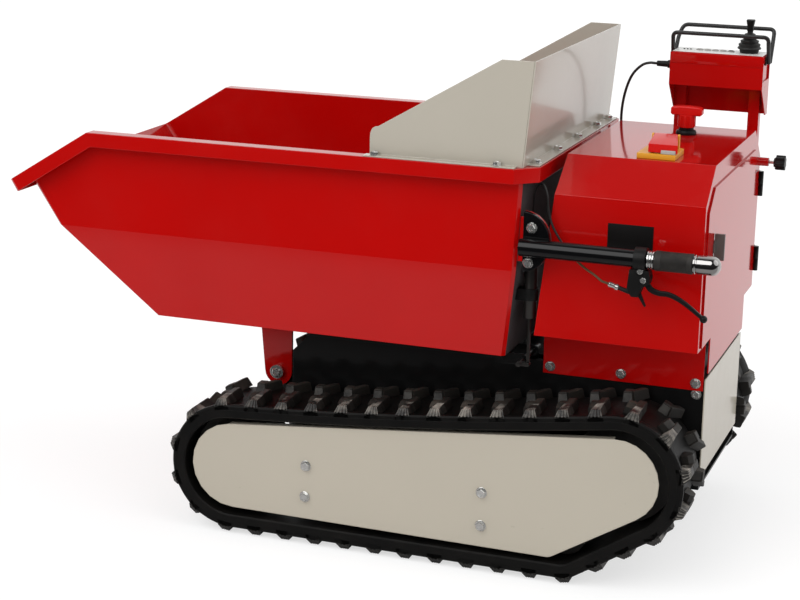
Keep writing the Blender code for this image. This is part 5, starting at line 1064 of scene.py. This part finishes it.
def dress_small_parts():
    """Moulded and plated small parts."""
    for node, *options in (
            ("switch_base", [YELLOW_PLASTIC, GREY_PLASTIC], 0.0022, 3,
             lambda at: at.z > SWITCH_TOP + 0.0008 and at.y > INSERT_Y),
            ("switch_flap", RED_PLASTIC, 0.0034, 4),
            ("star_knob", [BLACK_PLASTIC, ZINC], 0.0014, 3, lambda at: at.x > STUD_X),
            ("door_latch", LATCH_GREY, 0.0012, 3),
            ("tipping_pin", ZINC, 0.0010),
            ("latch_tube", [DARK_STEEL, BLACK_PLASTIC], 0.0006, 2,
             lambda at: COLLAR_Z[0] < at.z < COLLAR_Z[1]),
            ("latch_rod", DARK_STEEL, 0),
            ("latch_hook", DARK_STEEL, 0.0006),
            ("hood_gland", BLACK_PLASTIC, 0.0005),
            ("lever_perch", [BLACK_PLASTIC, ZINC], 0.0012, 3,
             lambda at: at.x > PERCH_SEAT[0] and at.z < PERCH_SEAT[1])):
        dress(node, *options)
    dress("control_box", [RED_PAINT, PANEL_WHITE, BLACK_PLASTIC], choose=box_finish, sheet=True)
    for index in range(1, BUTTON_COUNT + 1):
        dress(f"button_{index}", BLACK_PLASTIC if index == BUTTON_COUNT else GREY_PLASTIC)
    corner = rounded(block((-0.669, -0.638), (0.2035, 0.2160), (SWITCH_TOP, SWITCH_TOP + 0.0085)), 0.0016, 3)
    finished("switch_corner", corner, GREY_PLASTIC, "chassis")


def finish_hidden_parts():
    """Solids that stay as they are, with their finishes."""
    chosen = {"joystick_cross": ZINC, "battery_pack": CASE_GREY, "controller": CASE_GREY}
    for label, _ in SIDES:
        chosen[f"gear_motor_{label}"] = CASE_GREY
        for wheel in ("sprocket_{}", "idler_{}", "roller_{}_1", "roller_{}_2", "roller_{}_3"):
            chosen[wheel.format(label)] = CAST_IRON
    for node, finish in chosen.items():
        mesh = frame["nodes"][node].data
        mesh.materials.clear()
        mesh.materials.append(finish)


# Bolts, handle, controls and cables


def add_bolts():
    """Zinc bolts of each body."""
    guard = on_both_sides([(x, 0.3735, GUARD_FOOT_TOP) for x in (-0.329, -0.058)], UP)
    guard += [((-0.396, y, GUARD_FOOT_TOP), UP) for y in (0.31, 0.14, -0.03, -0.20, -0.31)]
    bracket = [((x, BRACKET_Y[1], z), (0, 1, 0)) for x, z in ((-0.405, 0.769), (-0.399, 0.6935))]
    reach = max(vertex.co.y for vertex in frame["nodes"]["tipping_pin"].data.vertices)
    perch = [((-0.6446, HANDLE_Y + 0.0146, 0.7065), (0, 1, 0))]
    bolts("guard_bolts", "skip", M10, 3, guard)
    bolts("bracket_bolts", "skip", M10, 5, bracket)
    bolts("cover_bolts", "chassis", M12, 7, on_both_sides([(x, COVER_Y, z) for x, z in COVER_BOLTS]))
    bolts("skirt_bolts", "chassis", M10, 9, on_both_sides(SKIRT_BOLTS))
    bolts("pivot_bolts", "chassis", PIVOT_HEAD, 13, on_both_sides([(PIVOT[0], reach, PIVOT[1])]))
    bolts("perch_bolt", "skip", M6, 11, perch)


def add_handle():
    """Tube, bracket plate, ferrules, grip and chrome end."""
    centre = (0, HANDLE_Y, HANDLE_Z)
    tube_end = TUBE_REAR - 0.001
    body = lathe([(0, TUBE_FRONT), (TUBE_RADIUS - 0.001, TUBE_FRONT), (TUBE_RADIUS, TUBE_FRONT - 0.001),
                  (TUBE_RADIUS, TUBE_REAR), (TUBE_RADIUS - 0.002, tube_end), (0, tube_end)], "X", centre, 56)
    finished("handle_tube", body, TUBE_PAINT, "skip", ["handle_bar"])
    outline = arc((-0.386, HANDLE_Z + 0.009), (0.058, 0.064), 90, 270, 32)
    finished("handle_bracket", rounded(plate(outline, *BRACKET_Y), 0.0012, 3), TUBE_PAINT, "skip")
    start = TUBE_REAR - 0.0012
    rings = [(0.0124, start)]
    for index in range(3):
        at = start - index * 0.0053
        rings += [(0.0180, at), (0.0195, at - 0.0012), (0.0195, at - 0.0036), (0.0172, at - 0.0048)]
    rings += [(0.0172, FERRULE_END), (0.0124, FERRULE_END)]
    finished("ferrule_rings", lathe(rings, "X", centre, 48), BARE_ALLOY, "skip")
    add_grip(centre)
    start, radius, neck = GRIP_END - GAP, BAR_END_RADIUS, BAR_END_RADIUS - 0.0012
    profile = [(0, start), (neck, start), (radius, start - 0.0012), (radius, start - 0.004),
               (neck, start - 0.0055), (neck, start - 0.0075), (radius, start - 0.009)]
    profile += arc((0, DOME_START), (radius, BAR_END_TIP - DOME_START), 0, 90, 8)
    profile[-1] = (0, BAR_END_TIP)
    finished("chrome_bar_end", lathe(profile, "X", centre, 56), CHROME, "skip", ["bar_end"])


def add_grip(centre):
    """Rubber grip with fine rings, wider lands at both ends."""
    radius, bore = GRIP_RADIUS, 0.0128
    start, end = FERRULE_END - GAP, GRIP_END
    first = start - 0.014
    pitch = (first - (end + 0.010)) / GRIP_RINGS
    profile = [(bore, start), (radius - 0.001, start), (radius, start - 0.001), (radius, first)]
    for index in range(GRIP_RINGS):
        at = first - pitch * index
        profile += [(radius - 0.0009, at - pitch * 0.25), (radius - 0.0009, at - pitch * 0.55),
                    (radius - 0.0001, at - pitch * 0.80)]
    profile += [(radius, end + 0.008), (radius, end + 0.001), (radius - 0.001, end), (bore, end)]
    finished("grip_rubber", lathe(profile, "X", centre, 56), GRIP_RUBBER, "skip", ["handle_grip"])


def add_lever():
    """Curved lever with a ball end, its pin, the cable's adjuster and the perch's tongue."""
    pivot = (LEVER_PIVOT[0], HANDLE_Y, LEVER_PIVOT[1])
    line = smooth_route([pivot] + [(x, HANDLE_Y, z) for x, z in LEVER_LINE], 0.006)
    rings = []
    for index, point in enumerate(line):
        height = 0.0066 - 0.0028 * index / (len(line) - 1)
        before, after = line[max(index - 1, 0)], line[min(index + 1, len(line) - 1)]
        heading = (after - before).normalized()
        normal = Vector((-heading.z, 0, heading.x))
        rings.append([point + normal * (up * height) + Vector((0, out * LEVER_HALF_WIDTH, 0))
                      for out, up in soft_square(16, 0.55)])
    ball = arc((0, 0), (BALL_RADIUS, BALL_RADIUS), -90, 90, 16)
    ball[0], ball[-1] = (0, -BALL_RADIUS), (0, BALL_RADIUS)
    hub = [(0, -0.004), (0.0084, -0.004), (0.009, -0.0034), (0.009, 0.0034), (0.0084, 0.004), (0, 0.004)]
    mesh = joined([loft(rings), lathe(ball, "Y", line[-1], 28), lathe(hub, "Y", pivot, 32)])
    finished("lever_blade", mesh, BLACK_PLASTIC, "lever", ["release_lever"])
    end = [(0, 0.0172), (0.0054, 0.0172), (0.0062, 0.0164), (0.0062, 0.0145), (0.0038, 0.0145)]
    pin = [(radius, -station) for radius, station in end] + end[::-1]
    finished("lever_pin", lathe(pin, "Y", pivot, 20), ZINC, "lever")
    sleeve = [(0, 0.0002), (0.0050, 0.0002), (0.0056, 0.0010), (0.0056, 0.0090), (0.0052, 0.0096),
              (0.0052, 0.0150), (0.0068, 0.0156), (0.0068, 0.0210), (0.0060, 0.0218), (0, 0.0218)]
    mesh = lathe(sleeve, "X", sides=16)
    lean = math.atan2(ADJUSTER_START[1] - ADJUSTER_END[1], ADJUSTER_START[0] - ADJUSTER_END[0])
    place = Matrix.Translation((ADJUSTER_END[0], HANDLE_Y, ADJUSTER_END[1]))
    mesh.transform(place @ Matrix.Rotation(-lean, 4, "Y"))
    finished("cable_adjuster", mesh, ZINC, "skip")
    tongue = [(-0.6400, 0.6640), (-0.6470, 0.6600), (-0.6590, 0.6330), (-0.6555, 0.6305), (-0.6400, 0.6540)]
    finished("perch_tongue", rounded(plate(tongue, 0.3750, 0.3790), 0.0007), BLACK_PLASTIC, "skip")


def add_joystick():
    """Joystick's bellows and knob."""
    profile = [(0, 0.0300), (0.0100, 0.0210), (0.0180, 0.0140), (0.0232, 0.0010), (0.0232, -0.0006),
               (0.0262, -0.0006), (0.0270, 0.0014), (0.0262, 0.0030), (0.0238, 0.0050), (0.0240, 0.0062),
               (0.0250, 0.0092), (0.0246, 0.0108), (0.0202, 0.0130), (0.0200, 0.0140), (0.0212, 0.0170),
               (0.0208, 0.0186), (0.0154, 0.0208), (0.0152, 0.0218), (0.0164, 0.0248), (0.0160, 0.0262),
               (0.0110, 0.0286), (0.0108, 0.0298), (0.0124, 0.0318), (0.0122, 0.0334), (0.0088, 0.0348),
               (0.0066, 0.0352), (0.0064, 0.0405), (0, 0.0405)]
    boot = lathe(profile, "Z", (STICK_X, PANEL_Y, STICK_PIVOT_Z))
    finished("joystick_boot", boot, BOOT_RUBBER, "stick", ["joystick_handle"])
    rings = []
    for share, half_x, half_y in ((0.0, 0.0062, 0.0062), (0.10, 0.0078, 0.0078), (0.22, 0.0072, 0.0076),
                                  (0.45, 0.0072, 0.0080), (0.75, 0.0088, 0.0092), (0.93, 0.0096, 0.0098),
                                  (1.0, 0.0086, 0.0088)):
        z = KNOB_LOW + (STICK_TOP - KNOB_LOW) * share
        rings.append([(STICK_X + x * half_x, PANEL_Y + y * half_y, z) for x, y in soft_square(24, 0.45)])
    finished("joystick_knob", loft(rings), BLACK_PLASTIC, "stick", smooth=50.0)


def add_guard_bars():
    """Two bent rods over the panel, between two foot plates."""
    front, rear = BOX_FRONT + 0.0065, BOX_REAR - 0.0070
    low = GUARD_FOOT_Z + 0.004
    parts = []
    for (bar_y, bar_z), shift, lean in ((NEAR_BAR, 0.004, NEAR_BAR_LEAN), (FAR_BAR, -0.012, FAR_BAR_LEAN)):
        start_y = PANEL_Y + shift
        knee_y = start_y + (bar_y - start_y) * 0.7
        knee_z = GUARD_FOOT_Z + (bar_z - GUARD_FOOT_Z) * 0.68
        route = [(front, start_y, low), (front - KNEE_LEAN, knee_y, knee_z), (front - lean, bar_y, bar_z),
                 (rear, bar_y, bar_z), (rear, knee_y, knee_z), (rear, start_y, low)]
        parts.append(baked(linked(tube(rounded_path(route, 0.012, 8), GUARD_ROD))))
    for x_range in ((BOX_FRONT + GAP, BOX_FRONT + 0.0033), (BOX_REAR - 0.0033, BOX_REAR - GAP)):
        foot = block(x_range, (PANEL_Y - 0.022, PANEL_Y + 0.016), (GUARD_FOOT_Z, GUARD_FOOT_Z + 0.021))
        parts.append(rounded(foot, 0.0008))
    finished("guard_bar_rods", joined(parts), BAR_PAINT, "chassis", ["guard_bars"],
             smooth=50.0)


def add_panel_parts():
    """The cradle's folded lip, the buttons' rims and the three lights."""
    fold = block((BOX_REAR - 0.0020, BOX_FRONT + 0.0020), (LIP_FACE_Y - 0.0002, LIP_FACE_Y + 0.0009),
                 (1.0545, 1.0786))
    finished("lip_fold", rounded(fold, 0.0007), RED_PAINT, "chassis")
    rim = lathe([(0.0060, 0), (0.0082, 0), (0.0082, 0.0012), (0.0076, 0.0018), (0.0064, 0.0018),
                 (0.0060, 0.0012)], sides=32)
    lens = lathe([(0, 0), (0.0026, 0), (0.0026, 0.0008), (0.0018, 0.0016), (0, 0.0018)], sides=20)
    for name, shape, finish, first_x, pitch, count in (
            ("button_rims", rim, GREY_PLASTIC, BUTTON_FIRST_X, BUTTON_PITCH, BUTTON_COUNT),
            ("panel_lights", lens, BLACK_PLASTIC, -0.578, 0.0075, 3)):
        places = [((first_x - pitch * index, PANEL_Y, PANEL_TOP), UP, FORWARD) for index in range(count)]
        finished(name, set_copies(places, shape, finish), finish, "chassis")


def add_isolator():
    """Black isolator base and the red key with its ribbed neck and wide bar handle."""
    x, y = ISOLATOR
    seat = HOOD_TOP + GAP
    base = [(0.0083, seat), (0.0225, seat), (0.0230, seat + 0.001), (0.0230, seat + 0.006),
            (0.0210, seat + 0.009), (0.0165, seat + 0.010), (0.0165, seat + 0.016), (0.0083, seat + 0.016)]
    finished("isolator_foot", lathe(base, "Z", (x, y, 0), 40), BLACK_PLASTIC, "chassis", ["isolator_base"])
    skirt = seat + 0.010 + ISOLATOR_TRAVEL + GAP
    roof = seat + 0.016 + ISOLATOR_TRAVEL + GAP
    low = HOOD_TOP + ISOLATOR_BAR_LOW
    high = low + ISOLATOR_BAR_HEIGHT
    profile = [(0, roof), (0.0168, roof), (0.0168, skirt), (0.0178, skirt), (0.0185, skirt + 0.001),
               (0.0185, low - 0.003), (0.0195, low + 0.0002), (0.0180, low + 0.0010), (0, low + 0.0010)]
    rib = rounded(block((-0.0020, 0.0020), (0.0175, 0.0200), (skirt + 0.001, low + 0.0002)), 0.0007)
    half, reach = ISOLATOR_BAR_HALF, ISOLATOR_BAR_WIDTH / 2
    outline = arc((x, high - ISOLATOR_BAR_CROWN), (half, ISOLATOR_BAR_CROWN), 0, 180, 8)
    outline += [(x - half, low + 0.004), (x - half + 0.004, low)]
    outline += [(x + half - 0.004, low), (x + half, low + 0.004)]
    handle = rounded(plate(outline, y - reach, y + reach), 0.0042, 4, angle=50.0)
    places = [((x, y, 0.0), UP, Vector((*point, 0)))
              for point in arc((0, 0), (1, 1), 0, 360, ISOLATOR_RIBS)[:-1]]
    mesh = joined([lathe(profile, "Z", (x, y, 0)), handle, set_copies(places, rib, RED_PLASTIC)])
    finished("isolator_cap", mesh, RED_PLASTIC, "key", ["isolator_key"])


def add_plate():
    """Bare dark data plate on the hood's near side."""
    outline = [(-0.557, 0.786), (-0.557, 0.731), (-0.654, 0.731), (-0.654, 0.786)]
    mesh = rounded(plate(outline, HOOD_SIDE_Y + 0.0001, HOOD_SIDE_Y + 0.0009), 0.0003)
    finished("data_plate", mesh, PLATE_BLACK, "chassis")


def add_cables():
    """Release cable and control cable, each from one fitting to the next."""
    start, back = [Vector((x, HANDLE_Y, z)) for x, z in (ADJUSTER_END, ADJUSTER_START)]
    heading = (start - back).normalized()
    route = [start + heading * GAP, start + heading * 0.008, start + heading * 0.016,
             (-0.545, 0.364, 0.684), (-0.522, 0.353, 0.693), (-0.500, 0.344, 0.706), (-0.478, 0.341, 0.726),
             (-0.458, 0.338, 0.750), (-0.441, 0.333, 0.776), (-0.432, 0.329, 0.805), (-0.428, 0.325, 0.832),
             (-0.418, 0.318, 0.852), (-0.404, 0.309, 0.852), (-0.394, 0.303, 0.832), (-0.391, 0.300, 0.800),
             (-0.391, 0.300, 0.750), (-0.391, 0.300, 0.7003)]
    add_cable("release_cable", route, 0.0025, CABLE_BROWN)
    route = [(-0.5157, PANEL_Y, 1.043), (-0.507, PANEL_Y, 1.043), (-0.498, PANEL_Y, 1.043),
             (-0.480, -0.266, 1.036), (-0.458, -0.268, 1.012), (-0.442, -0.275, 0.972),
             (-0.432, -0.288, 0.922), (-0.429, -0.310, 0.872), (-0.435, -0.338, 0.832),
             (-0.452, -0.360, 0.805), (-0.478, -0.374, 0.788), (-0.494, -0.372, 0.781),
             (-0.500, -0.3627, 0.780), (-0.500, -0.3507, 0.780), (-0.500, -0.3387, 0.780)]
    add_cable("control_cable", route, 0.0032, CABLE_BLACK)


def add_cable(node, route, radius, finish):
    """A cable that leaves one fitting and ends in another."""
    points = smooth_route(route, 2.0 * radius)
    curve = tube(points, radius, 5)
    curve.materials.append(finish)
    made = linked(curve, f"{node}_look")
    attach(made, body_of(node))
    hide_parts(node)


# The whole scene


def build_scene():
    add_camera()
    add_cables()
    for label, side in SIDES:
        track_belt(label, side)
    add_guide_discs()
    dress_sheet_metal()
    dress_small_parts()
    finish_hidden_parts()
    add_bolts()
    add_handle()
    add_lever()
    add_joystick()
    add_guard_bars()
    add_panel_parts()
    add_isolator()
    add_plate()
    add_floor()
    light_scene()


build_scene()
